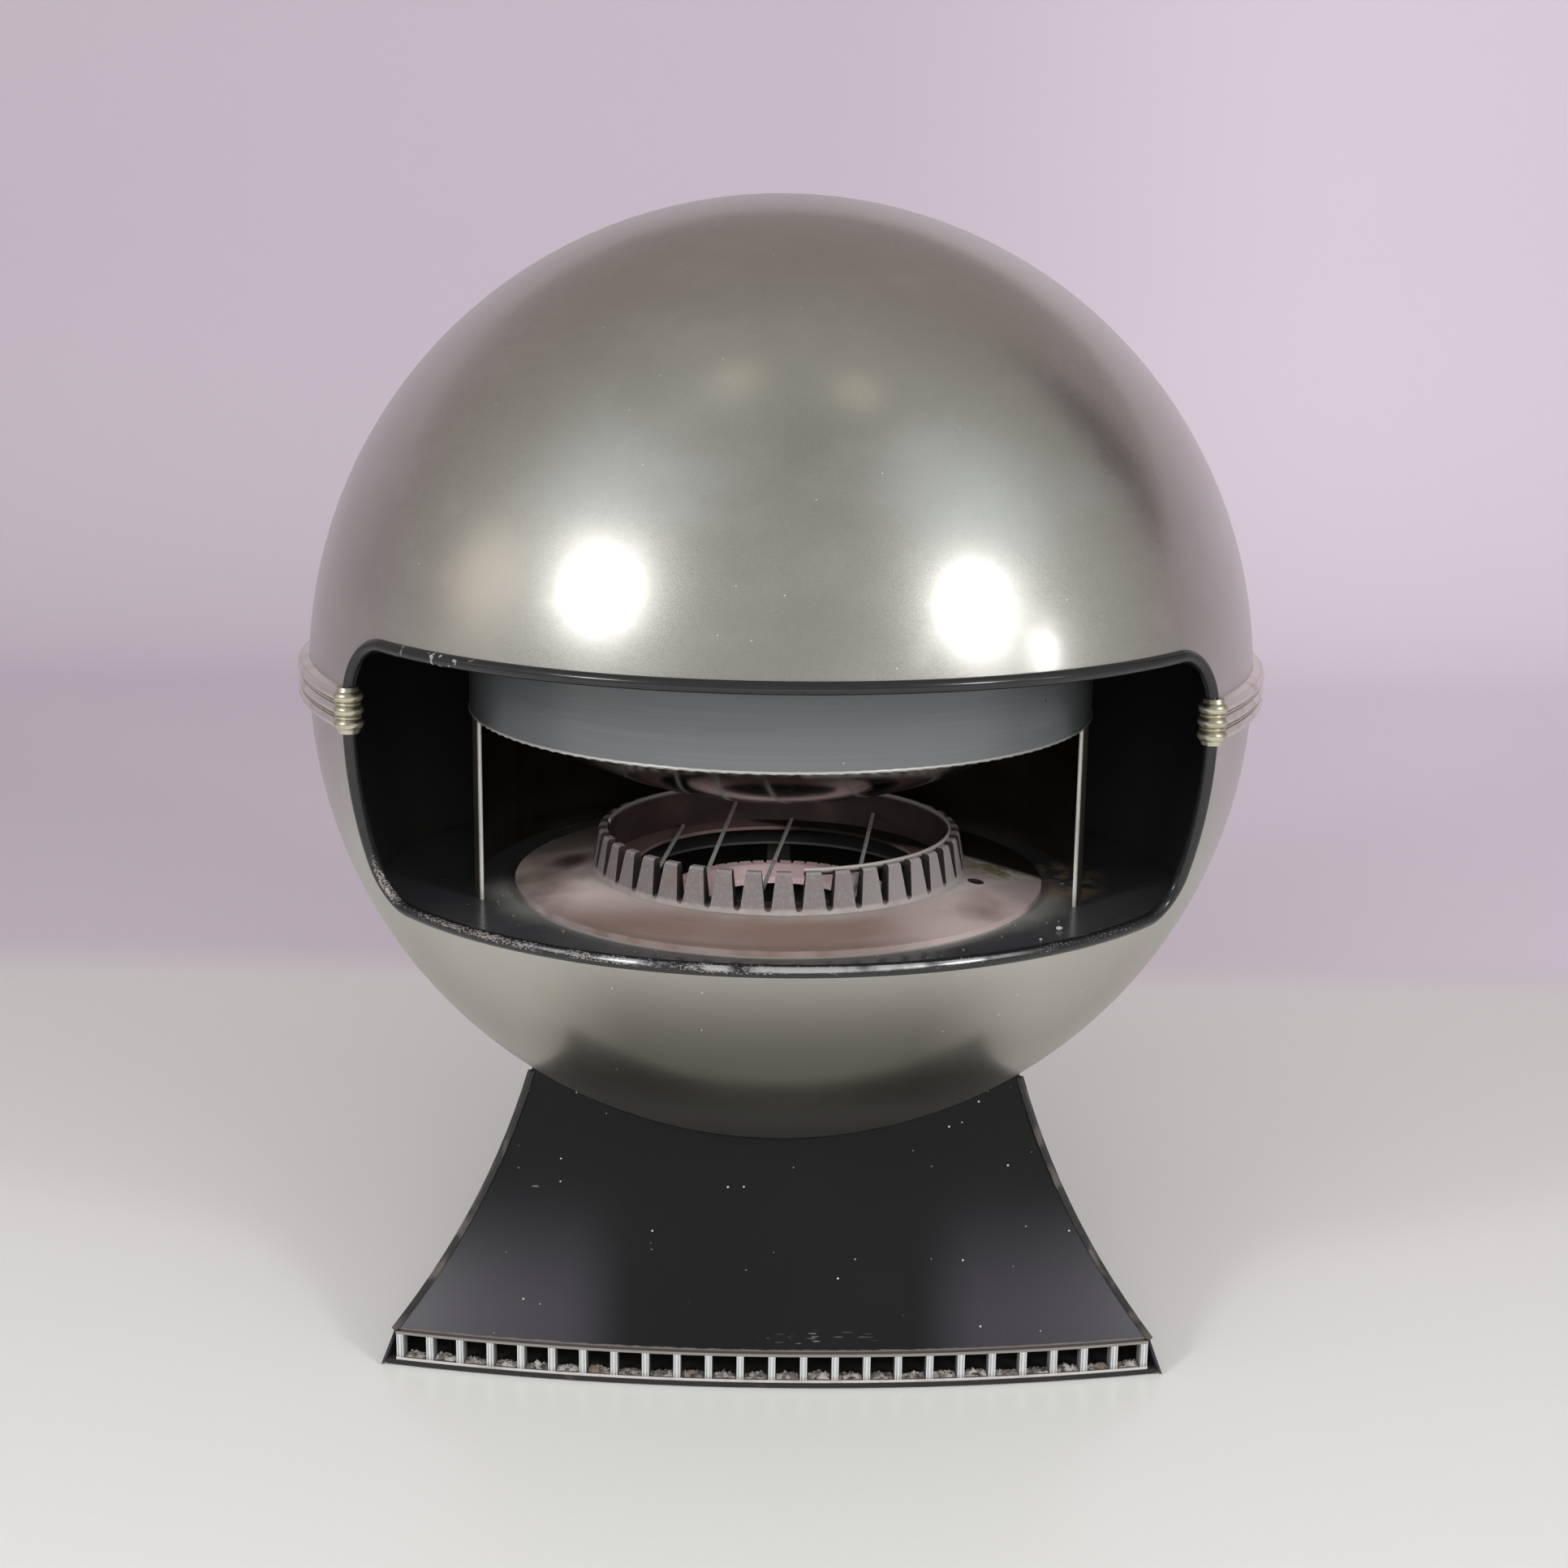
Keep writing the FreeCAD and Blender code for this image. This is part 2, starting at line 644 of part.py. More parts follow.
def burner_cap():
    """Ring of the burner with radial flame ports along its sloping shoulder."""
    shoulder = BURNER_CAP_HEIGHT / 2
    cap = turned(
        (BURNER_HOLE_RADIUS, PAN_TOP),
        (BURNER_RADIUS, PAN_TOP),
        (BURNER_RADIUS, BURNER_TOP - shoulder),
        (BURNER_RADIUS - shoulder, BURNER_TOP),
        (BURNER_RADIUS - PORT_LENGTH, BURNER_TOP),
        (BURNER_HOLE_RADIUS, BURNER_TOP - shoulder),
    )
    port_reach = BURNER_RADIUS + PORT_DEPTH - PORT_LENGTH / 2
    port = block(PORT_WIDTH, PORT_LENGTH, BURNER_TOP - PORT_DEPTH, BURNER_TOP + PORT_DEPTH, port_reach, 0)
    return cap.cut(Part.makeCompound(repeated(port, BURNER_PORTS)))


def burner_pan():
    """Cup under the burner cap, with a disc that closes the middle and a hole for the mixing tube."""
    throat = VENTURI_DIAMETER / 2
    return turned(
        (throat, PAN_FLOOR),
        (BURNER_RADIUS, PAN_FLOOR),
        (BURNER_RADIUS, PAN_TOP),
        (BURNER_RADIUS - PAN_WALL, PAN_TOP),
        (BURNER_RADIUS - PAN_WALL, PAN_FLOOR + PAN_WALL),
        (throat, PAN_FLOOR + PAN_WALL),
    )


def burner_hangers():
    """Angle straps that hang the burner pan from the hearth floor."""
    top = HEARTH_Z - HEARTH_WALL
    low = PAN_FLOOR
    drop_reach = WELL_RADIUS + HANGER_WIDTH
    upright = block(HANGER_WIDTH, HANGER_WALL, low, top, drop_reach, 0)
    tab_depth = HANGER_WIDTH / 2
    tab = block(HANGER_WIDTH, tab_depth, top - HANGER_WALL, top, drop_reach + tab_depth / 2, 0)
    arm_depth = drop_reach - BURNER_RADIUS
    arm = block(HANGER_WIDTH, arm_depth, low, low + HANGER_WALL, drop_reach - arm_depth / 2, 0)
    strap = upright.multiFuse([tab, arm]).cut(Part.makeCylinder(BURNER_RADIUS, BALL_CENTRE_Z))
    return repeated(strap.removeSplitter(), HANGER_COUNT, SIDE_ANGLE / 2)


def venturi():
    """Mixing tube with air windows above the collar that takes the injector."""
    radius = VENTURI_DIAMETER / 2
    pipe = ring(radius - VENTURI_WALL, radius, VENTURI_FOOT, PAN_FLOOR + PAN_WALL)
    collar = ring(INJECTOR_DIAMETER / 2, radius, VENTURI_FOOT, VENTURI_FOOT + VENTURI_COLLAR)
    sill = VENTURI_FOOT + VENTURI_COLLAR
    window = block(VENTURI_WINDOW_WIDTH, radius, sill, sill + VENTURI_WINDOW_HEIGHT, radius, 0)
    return pipe.fuse(collar).removeSplitter().cut(Part.makeCompound(repeated(window, VENTURI_WINDOWS)))


def injector():
    """Brass jet screwed into the foot of the mixing tube."""
    foot = VENTURI_FOOT - VENTURI_COLLAR
    top = VENTURI_FOOT + VENTURI_COLLAR
    return turned(
        (0, foot),
        (INJECTOR_DIAMETER / 2, foot),
        (INJECTOR_DIAMETER / 2, top),
        (INJECTOR_JET_DIAMETER / 2, top),
        (INJECTOR_JET_DIAMETER / 2, top + INJECTOR_JET_LENGTH),
        (0, top + INJECTOR_JET_LENGTH),
    )


# Pilot group at the burner's edge


def pilot_azimuth(step):
    """Azimuth of one of the three pilot pieces: -1 probe, 0 pilot, +1 electrode."""
    return PILOT_AZIMUTH + step * PILOT_SPACING_ANGLE


PILOT_SHELF_TOP = PAN_TOP - PILOT_BRACKET_WALL


def pilot_bracket():
    """Shelf on the burner pan's side that holds the pilot, the probe and the electrode."""
    outer = PILOT_REACH + PILOT_DIAMETER
    shelf = block(
        PILOT_BRACKET_WIDTH,
        outer - BURNER_RADIUS + PILOT_BRACKET_WALL,
        PILOT_SHELF_TOP - PILOT_BRACKET_WALL,
        PILOT_SHELF_TOP,
        (outer + BURNER_RADIUS - PILOT_BRACKET_WALL) / 2,
        PILOT_AZIMUTH,
    )
    shelf = shelf.cut(Part.makeCylinder(BURNER_RADIUS, BALL_CENTRE_Z))
    sizes = {-1: PROBE_DIAMETER, 0: PILOT_DIAMETER, 1: ELECTRODE_DIAMETER}
    for step, diameter in sizes.items():
        seat = polar(PILOT_REACH, pilot_azimuth(step), 0)
        shelf = shelf.cut(Part.makeCylinder(diameter / 2, BALL_CENTRE_Z, seat))
    return shelf


def pilot_foot(step, rise, length):
    """Lower end of a pilot piece that stands a rise above the burner."""
    return polar(PILOT_REACH, pilot_azimuth(step), BURNER_TOP + rise - length)


def pilot_burner():
    """Small burner with an open flame slot that faces the main burner."""
    foot = pilot_foot(0, PILOT_RISE, PILOT_LENGTH)
    body = Part.makeCylinder(PILOT_DIAMETER / 2, PILOT_LENGTH, foot)
    half = PILOT_DIAMETER / 2
    slot_foot = BURNER_TOP + PILOT_RISE - PILOT_DIAMETER
    slot = block(half, PILOT_DIAMETER, slot_foot, slot_foot + half, PILOT_REACH - half, PILOT_AZIMUTH)
    return body.cut(slot)


def thermocouple():
    """Flame probe that keeps the gas valve open while the pilot burns."""
    foot = pilot_foot(-1, PROBE_RISE, PROBE_LENGTH)
    return Part.makeCylinder(PROBE_DIAMETER / 2, PROBE_LENGTH, foot)


def spark_electrode():
    """Ceramic sleeve with a bare wire tip."""
    foot = pilot_foot(1, 0, ELECTRODE_LENGTH)
    sleeve = Part.makeCylinder(ELECTRODE_DIAMETER / 2, ELECTRODE_LENGTH, foot)
    tip_foot = foot + UP * ELECTRODE_LENGTH
    tip = Part.makeCylinder(ELECTRODE_TIP_DIAMETER / 2, ELECTRODE_TIP_LENGTH, tip_foot)
    return sleeve.fuse(tip)


# Reflector, hood, bowl and flue


def reflector():
    """Upright polished sheet behind the burner, hemmed at its front edges."""
    outer = HOOD_RADIUS - HOOD_WALL - FIT_GAP
    inner = outer - REFLECTOR_WALL
    top = HOOD_RIM_Z + REFLECTOR_OVERLAP
    sheet = turned(
        (inner, HEARTH_Z),
        (outer, HEARTH_Z),
        (outer, top),
        (inner, top),
        azimuth=REFLECTOR_HALF_ANGLE,
        sweep=360 - 2 * REFLECTOR_HALF_ANGLE,
    )
    hem_reach = outer - REFLECTOR_HEM / 2
    hems = [
        rod(
            polar(hem_reach, side * REFLECTOR_HALF_ANGLE, HEARTH_Z),
            polar(hem_reach, side * REFLECTOR_HALF_ANGLE, HOOD_RIM_Z - FIT_GAP),
            REFLECTOR_HEM,
        )
        for side in (-1, 1)
    ]
    return sheet.multiFuse(hems)


def hood_roof(reach):
    """Height of the underside of the hood's sloping roof at a distance from the axis."""
    low = BALL_CENTRE_Z + HOOD_SKIRT_TOP
    high = BALL_CENTRE_Z + HOOD_NECK_FOOT
    neck = FLUE_RADIUS + FIT_GAP
    bore = HOOD_RADIUS - HOOD_WALL
    return low + (high - low) * (bore - reach) / (bore - neck)


def hood():
    """Smoke hood: upright skirt with a rolled rim, sloping roof and flue neck."""
    bore = HOOD_RADIUS - HOOD_WALL
    neck = FLUE_RADIUS + FIT_GAP
    low = BALL_CENTRE_Z + HOOD_SKIRT_TOP
    high = BALL_CENTRE_Z + HOOD_NECK_FOOT
    top = BALL_CENTRE_Z + HOOD_NECK_TOP
    sheet = turned(
        (bore, HOOD_RIM_Z),
        (HOOD_RADIUS, HOOD_RIM_Z),
        (HOOD_RADIUS, low + HOOD_WALL),
        (neck + HOOD_WALL, high + HOOD_WALL),
        (neck + HOOD_WALL, top),
        (neck, top),
        (neck, high),
        (bore, low),
    )
    bead = Part.makeTorus(HOOD_RADIUS - HOOD_WALL / 2, HOOD_RIM_BEAD / 2, Vector(0, 0, HOOD_RIM_Z))
    inside = Part.makeCylinder(bore, HOOD_RIM_BEAD, Vector(0, 0, HOOD_RIM_Z - HOOD_RIM_BEAD / 2))
    return sheet.fuse(bead.cut(inside)).removeSplitter()


def bowl_height(reach, radius):
    """Height of a bowl surface of a given sphere radius at a distance from the axis."""
    heart = BALL_CENTRE_Z - BOWL_DROP + BOWL_SPHERE_RADIUS
    return heart - math.sqrt(radius**2 - reach**2)


def deflector_bowl():
    """Polished shallow bowl that hangs under the hood."""
    inner = BOWL_SPHERE_RADIUS - BOWL_WALL
    middle = BOWL_RIM_RADIUS / 2

    def low(reach):
        return (reach, bowl_height(reach, BOWL_SPHERE_RADIUS))

    def high(reach):
        return (reach, bowl_height(reach, inner))

    return turned(low(0), (low(middle), low(BOWL_RIM_RADIUS)), high(BOWL_RIM_RADIUS), (high(middle), high(0)))


def bowl_hangers():
    """Rods that hang the bowl from the hood's roof."""
    start = polar(BOWL_HANGER_OFFSET, 0, BALL_CENTRE_Z - BOWL_DROP)
    end = polar(BOWL_HANGER_OFFSET, 0, BALL_CENTRE_Z + HOOD_NECK_TOP)
    bar = rod(start, end, BOWL_HANGER_DIAMETER)
    heart = Vector(0, 0, BALL_CENTRE_Z - BOWL_DROP + BOWL_SPHERE_RADIUS)
    bar = bar.common(Part.makeSphere(BOWL_SPHERE_RADIUS - BOWL_WALL, heart))
    bore = HOOD_RADIUS - HOOD_WALL
    low = BALL_CENTRE_Z + HOOD_SKIRT_TOP
    throat = (FLUE_RADIUS, hood_roof(FLUE_RADIUS))
    room = turned((0, HEARTH_Z), (bore, HEARTH_Z), (bore, low), throat, (0, low))
    return repeated(bar.common(room), BOWL_HANGERS)


def hood_brackets():
    """Straps from the hood's skirt to the inside of the upper shell."""
    low = BALL_CENTRE_Z + HOOD_BRACKET_LIFT
    high = low + HOOD_BRACKET_WALL
    reach = (HOOD_RADIUS + INNER_RADIUS) / 2
    depth = INNER_RADIUS - HOOD_RADIUS + HOOD_BRACKET_WIDTH
    straps = []
    for azimuth in HOOD_BRACKET_AZIMUTHS:
        strap = block(HOOD_BRACKET_WIDTH, depth, low, high, reach, azimuth)
        strap = strap.cut(Part.makeCylinder(HOOD_RADIUS, 2 * BALL_CENTRE_Z))
        straps.append(strap.common(Part.makeSphere(INNER_RADIUS, CENTRE)))
    return straps


def flue_end():
    """Distance behind the axis where the flue collar ends, just proud of the ball below the pipe."""
    return ball_reach(FLUE_Z - COLLAR_RADIUS) + COLLAR_PROUD


def flue_pipe():
    """Elbow from the hood's neck to the back of the ball."""
    foot = Vector(0, 0, BALL_CENTRE_Z + HOOD_NECK_FOOT)
    corner = Vector(0, 0, FLUE_Z)
    end = Vector(0, flue_end(), FLUE_Z)
    return tube((foot, corner, end), FLUE_BEND_RADIUS, 2 * FLUE_RADIUS, 2 * (FLUE_RADIUS - FLUE_WALL))


def flue_collar():
    """Sheet sleeve round the flue pipe where it leaves the ball, turned in at its end."""
    start = Vector(0, ball_reach(FLUE_Z + COLLAR_RADIUS) - COLLAR_INSIDE, FLUE_Z)
    end = Vector(0, flue_end(), FLUE_Z)
    sleeve = rod(start, end, 2 * COLLAR_RADIUS)
    hollow = rod(start, end - Vector(0, COLLAR_WALL, 0), 2 * (COLLAR_RADIUS - COLLAR_WALL))
    return sleeve.cut(hollow).cut(rod(start, end, 2 * FLUE_RADIUS))


def flue_spigot():
    """Stub that a stove pipe slides over, stepped in from the elbow and pushed into its end."""
    seat = Vector(0, flue_end(), FLUE_Z)
    back = Vector(0, 1, 0)
    stub = rod(seat, seat + back * SPIGOT_LENGTH, 2 * (FLUE_RADIUS - SPIGOT_STEP))
    insert = rod(seat - back * SPIGOT_INSERT, seat, 2 * (FLUE_RADIUS - FLUE_WALL))
    bore = rod(
        seat - back * SPIGOT_INSERT, seat + back * SPIGOT_LENGTH, 2 * (FLUE_RADIUS - 2 * FLUE_WALL)
    )
    return stub.fuse(insert).cut(bore).removeSplitter()


# Three-sided base

CHORD_ANGLE = math.radians(SIDE_ANGLE / 2)
CHORD_HALF = CORNER_RADIUS_FLOOR * math.sin(CHORD_ANGLE)
SIDE_ARC_RADIUS = (CHORD_HALF**2 + SIDE_BULGE**2) / (2 * SIDE_BULGE)
SIDE_AXIS_REACH = SIDE_ARC_RADIUS - SIDE_BULGE - CORNER_RADIUS_FLOOR * math.cos(CHORD_ANGLE)
SIDE_AXIS = Vector(0, SIDE_AXIS_REACH, 0)
SIDE_HALF_SWING = math.degrees(math.asin(CHORD_HALF / SIDE_ARC_RADIUS))
FLARE_TOP_Z = ball_floor(FLARE_TOP_RADIUS) - FLARE_TOP_GAP


def side_radius(corner_radius):
    """Plan radius of a side about its own axis where its corners lie at a radius about the ball's axis."""
    return math.hypot(
        corner_radius * math.sin(CHORD_ANGLE), SIDE_AXIS_REACH + corner_radius * math.cos(CHORD_ANGLE)
    )


def flare_circle():
    """Middle-line arc of a side, as the plan radius of its centre, its height and its own radius."""
    points = [
        Vector(side_radius(FLARE_TOP_RADIUS), 0, FLARE_TOP_Z),
        Vector(side_radius(FLARE_MIDDLE_RADIUS), 0, FLARE_MIDDLE_Z),
        Vector(side_radius(FLARE_BOTTOM_RADIUS), 0, FLARE_BOTTOM_Z),
    ]
    arc = Part.Arc(*points).toShape().Curve
    return arc.Center.x, arc.Center.z, arc.Radius


FLARE_X, FLARE_Z, FLARE_ARC = flare_circle()


def flare(z, inset=0.0):
    """Plan radius of a side at a height, or of a surface an inset inside it."""
    return FLARE_X - math.sqrt((FLARE_ARC + inset) ** 2 - (z - FLARE_Z) ** 2)


def side_turn(azimuth, start, *steps):
    """Solid of revolution about a side's own axis, drawn over-wide and mitred at the base's corners."""
    swing = 2 * SIDE_HALF_SWING

    def lift(step):
        if isinstance(step[0], tuple):
            return tuple(Vector(0, SIDE_AXIS_REACH - radius, z) for radius, z in step)
        return Vector(0, SIDE_AXIS_REACH - step[0], step[1])

    face = outline(lift(start), *[lift(step) for step in steps])
    face.rotate(SIDE_AXIS, UP, -swing)
    solid = face.revolve(SIDE_AXIS, UP, 2 * swing)
    solid = solid.common(corner_wedge())
    solid.rotate(ORIGIN, UP, azimuth)
    return solid


def corner_wedge(inset=0.0):
    """Upright wedge between two corner planes of the base, drawn in from them by an inset."""
    far = 2 * CORNER_RADIUS_FLOOR
    tip = Vector(0, -inset / math.sin(CHORD_ANGLE), -far)
    left = tip + polar(far, -SIDE_ANGLE / 2, 0)
    right = tip + polar(far, SIDE_ANGLE / 2, 0)
    face = Part.Face(Part.makePolygon([tip, left, right, tip]))
    return face.extrude(UP * (2 * far))


def side_panel(azimuth, skirt, wall=PANEL_WALL):
    """Flared sheet side that hugs the ball above, with a skirt to the floor where asked."""
    high = FLARE_TOP_Z + SEAT_OVERRUN
    middle = (high + FLARE_BOTTOM_Z) / 2
    low_outer = (flare(FLARE_BOTTOM_Z), FLARE_BOTTOM_Z)
    low_inner = (flare(FLARE_BOTTOM_Z, wall), FLARE_BOTTOM_Z)
    hem = side_radius(CORNER_RADIUS_FLOOR)
    steps = [((flare(middle), middle), low_outer)]
    if skirt:
        steps += [(hem, FLOOR_GAP), (hem - wall, FLOOR_GAP)]
    steps += [low_inner, ((flare(middle, wall), middle), (flare(high, wall), high))]
    panel = side_turn(azimuth, (flare(high), high), *steps)
    return panel.cut(Part.makeSphere(BALL_RADIUS + SEAT_GAP, CENTRE))


def corner_strip(azimuth):
    """Narrow strip along a corner edge of the base, from the floor skirt up to the ball."""
    points = [
        (FLARE_TOP_RADIUS, FLARE_TOP_Z),
        (FLARE_MIDDLE_RADIUS, FLARE_MIDDLE_Z),
        (FLARE_BOTTOM_RADIUS, FLARE_BOTTOM_Z),
    ]

    def edge(shift):
        return [polar(radius + shift, azimuth, z) for radius, z in points]

    outer = edge(STRIP_PROUD)
    inner = edge(-PANEL_WALL)
    face = outline(outer[0], (outer[1], outer[2]), inner[2], (inner[1], inner[0]))
    across = polar(1, azimuth + 90, 0)
    face.translate(across * (-STRIP_WIDTH / 2))
    strip = face.extrude(across * STRIP_WIDTH)
    return strip.cut(Part.makeSphere(BALL_RADIUS + SEAT_GAP, CENTRE))


def three_sided(radius, bottom, top):
    """Prism with the base's bulged three-sided plan, where a side has a plan radius about its own axis."""
    disc = Part.makeCylinder(radius, top - bottom, SIDE_AXIS + UP * bottom)
    prism = disc
    for side in repeated(disc, SIDES)[1:]:
        prism = prism.common(side)
    return prism


def base_tray():
    """Floor tray of the base: a plate with a turned-down rim."""
    radius = side_radius(TRAY_RADIUS) - PANEL_WALL
    tray = three_sided(radius, FLOOR_GAP, TRAY_HEIGHT)
    hollow = three_sided(radius - TRAY_WALL, FLOOR_GAP, TRAY_HEIGHT - TRAY_WALL)
    return tray.cut(hollow)


def feet():
    """Pads under the tray near the corners."""
    pad = Part.makeCylinder(FOOT_RADIUS, TRAY_HEIGHT - TRAY_WALL, polar(FOOT_OFFSET, 0, 0))
    return repeated(pad, SIDES, SIDE_ANGLE / 2)


GRILLE_FACE = side_radius(GRILLE_RADIUS)


def grille_rails():
    """Rails along the top and bottom of the front grille."""
    wedge = corner_wedge(GRILLE_END_INSET)
    back = GRILLE_FACE - GRILLE_DEPTH
    rails = []
    for bottom, height in ((TRAY_HEIGHT, RAIL_HEIGHT), (FLARE_BOTTOM_Z - TOP_RAIL_HEIGHT, TOP_RAIL_HEIGHT)):
        top = bottom + height
        rail = side_turn(FRONT, (GRILLE_FACE, bottom), (GRILLE_FACE, top), (back, top), (back, bottom))
        rails.append(rail.common(wedge))
    return rails


def grille_slats():
    """Upright ribbed slats between the rails."""
    bottom = TRAY_HEIGHT + RAIL_HEIGHT
    top = FLARE_BOTTOM_Z - TOP_RAIL_HEIGHT
    half_chord = GRILLE_RADIUS * math.sin(CHORD_ANGLE) - GRILLE_END_INSET - SLAT_WIDTH
    half_swing = math.degrees(math.asin(half_chord / GRILLE_FACE))
    slat = Part.makeBox(
        SLAT_WIDTH, GRILLE_DEPTH, top - bottom, Vector(-SLAT_WIDTH / 2, SIDE_AXIS_REACH - GRILLE_FACE, bottom)
    )
    for shift in (-1, 1):
        groove = Part.makeBox(
            SLAT_RIB,
            SLAT_RIB,
            top - bottom,
            Vector(shift * SLAT_WIDTH / 4 - SLAT_RIB / 2, SIDE_AXIS_REACH - GRILLE_FACE, bottom),
        )
        slat = slat.cut(groove)
    slats = []
    for index in range(SLATS):
        copy = slat.copy()
        copy.rotate(SIDE_AXIS, UP, half_swing * (2 * index / (SLATS - 1) - 1))
        slats.append(copy)
    return slats


SADDLE_FOOT = ball_floor(SADDLE_INNER_RADIUS) - SADDLE_HEIGHT


def saddle_ring():
    """Ring seat that carries the ball."""
    seat = ring(SADDLE_INNER_RADIUS, SADDLE_OUTER_RADIUS, SADDLE_FOOT, ball_floor(SADDLE_OUTER_RADIUS))
    return seat.cut(Part.makeSphere(BALL_RADIUS, CENTRE))


def saddle_legs():
    """Footed straps that stand on the tray and carry the saddle ring."""
    reach = (SADDLE_INNER_RADIUS + SADDLE_OUTER_RADIUS) / 2
    upright = block(LEG_WIDTH, LEG_WALL, TRAY_HEIGHT, SADDLE_FOOT, reach, 0)
    foot = block(LEG_WIDTH, LEG_FOOT, TRAY_HEIGHT, TRAY_HEIGHT + LEG_WALL, reach + LEG_FOOT / 2, 0)
    return repeated(upright.fuse(foot).removeSplitter(), SIDES, SIDE_ANGLE / 2)


# Controls: a local frame on the panel, X along it, Y up its slope, Z out along the spindle


def control_frame():
    """Placement of the control group on the outer face of its panel."""
    slope = math.radians(CONTROL_TILT)
    flat_out = polar(1, CONTROL_AZIMUTH, 0)
    along = polar(1, CONTROL_AZIMUTH + 90, 0)
    out = flat_out * math.cos(slope) + UP * math.sin(slope)
    seat = polar(flare(CONTROL_Z) - SIDE_AXIS_REACH, CONTROL_AZIMUTH, CONTROL_Z)
    return FreeCAD.Placement(seat, FreeCAD.Rotation(along, out.cross(along), out, "ZXY"))


CONTROL = control_frame()
BORE_RADIUS = SPINDLE_RADIUS + RUNNING_CLEARANCE
CHAMBER_RADIUS = PLUNGER_RADIUS + RUNNING_CLEARANCE
GUIDE_RADIUS = BUTTON_RADIUS + RUNNING_CLEARANCE
KNOB_BACK = PLATE_PROUD + KNOB_LIFT
VALVE_FRONT = -VALVE_SETBACK
VALVE_BACK = VALVE_FRONT - VALVE_LENGTH
VALVE_MIDDLE = (VALVE_FRONT + VALVE_BACK) / 2
PLUNGER_FRONT = VALVE_FRONT - PLUNGER_DEPTH
COLLAR_FACE = PLATE_PROUD + IGNITER_COLLAR


def local(x, y, z):
    """Point of the control frame in the part's frame."""
    return CONTROL.multVec(Vector(x, y, z))


def placed(shape):
    """Shape drawn in the control frame, moved to its place on the panel."""
    return shape.transformed(CONTROL.toMatrix())


def local_rod(x, y, start, end, radius):
    """Round bar along the control frame's Z, in that frame."""
    return Part.makeCylinder(radius, end - start, Vector(x, y, start))


def local_box(x, y, start, end, width, breadth):
    """Box about a point of the control frame, in that frame."""
    return Part.makeBox(width, breadth, end - start, Vector(x - width / 2, y - breadth / 2, start))


def control_holes():
    """Cutters for the spindle's nose and the igniter's collar through the panel and the plate."""
    reach = VALVE_LENGTH
    nose = local_rod(0, 0, -reach, reach, VALVE_NOSE_RADIUS)
    collar = local_rod(IGNITER_SHIFT, 0, -reach, reach, IGNITER_RADIUS)
    return placed(nose.fuse(collar))


def control_plate():
    """Flat plate on the panel behind the knob and the igniter button."""
    plate = local_box(PLATE_SHIFT, 0, -PLATE_PROUD, PLATE_PROUD, PLATE_LENGTH, PLATE_BREADTH)
    plate = placed(plate).cut(side_panel(RIGHT_REAR, False, VALVE_LENGTH))
    return plate.cut(control_holes())


def gas_valve():
    """Valve body with a nose for the spindle and bosses for its three pipes."""
    body = local_box(0, 0, VALVE_BACK, VALVE_FRONT, VALVE_WIDTH, VALVE_BREADTH)
    nose = local_rod(0, 0, VALVE_FRONT, PLATE_PROUD, VALVE_NOSE_RADIUS)
    outlet = local_rod(0, 0, VALVE_BACK - PORT_BOSS_LENGTH, VALVE_BACK, PORT_BOSS_RADIUS)
    side = Vector(VALVE_WIDTH / 2, 0, VALVE_MIDDLE)
    inlet = Part.makeCylinder(PORT_BOSS_RADIUS, PORT_BOSS_LENGTH, side, Vector(1, 0, 0))
    body = body.multiFuse([nose, outlet, inlet]).removeSplitter()
    bore = local_rod(0, 0, PLUNGER_FRONT, PLATE_PROUD, BORE_RADIUS)
    chamber_back = PLUNGER_FRONT - PLUNGER_LENGTH - PLUNGER_TRAVEL - FIT_GAP
    chamber = local_rod(0, 0, chamber_back, PLUNGER_FRONT + FIT_GAP, CHAMBER_RADIUS)
    return placed(body.cut(bore).cut(chamber))


def safety_plunger():
    """Plunger inside the valve that the pushed-in spindle moves to open the pilot gas."""
    plunger = local_rod(0, 0, PLUNGER_FRONT - PLUNGER_LENGTH, PLUNGER_FRONT, PLUNGER_RADIUS)
    return placed(plunger)


def valve_spindle():
    """Round spindle from the plunger to the knob."""
    return placed(local_rod(0, 0, PLUNGER_FRONT, KNOB_BACK + SPINDLE_GRIP, SPINDLE_RADIUS))


def control_knob():
    """Fluted knob with a raised pointer bar."""
    top = KNOB_BACK + KNOB_DEPTH
    knob = local_rod(0, 0, KNOB_BACK, top - KNOB_CREST_DEPTH, KNOB_RADIUS)
    for index in range(KNOB_FLUTES):
        angle = 2 * math.pi * index / KNOB_FLUTES
        flute = local_rod(
            KNOB_RADIUS * math.cos(angle), KNOB_RADIUS * math.sin(angle), KNOB_BACK, top, KNOB_FLUTE_RADIUS
        )
        knob = knob.cut(flute)
    crest_length = 2 * (KNOB_RADIUS - KNOB_FLUTE_RADIUS - KNOB_CREST_MARGIN)
    crest = local_box(0, 0, top - KNOB_CREST_DEPTH, top, KNOB_CREST_WIDTH, crest_length)
    socket = local_rod(0, 0, KNOB_BACK, KNOB_BACK + SPINDLE_GRIP, SPINDLE_RADIUS)
    return placed(knob.fuse(crest).removeSplitter().cut(socket))


def igniter_body():
    """Spark igniter whose collar passes through the panel and guides the button."""
    back = COLLAR_FACE - IGNITER_LENGTH
    body = local_rod(IGNITER_SHIFT, 0, back, COLLAR_FACE, IGNITER_RADIUS)
    guide_floor = COLLAR_FACE - BUTTON_GUIDE - BUTTON_TRAVEL - FIT_GAP
    return placed(body.cut(local_rod(IGNITER_SHIFT, 0, guide_floor, COLLAR_FACE, GUIDE_RADIUS)))


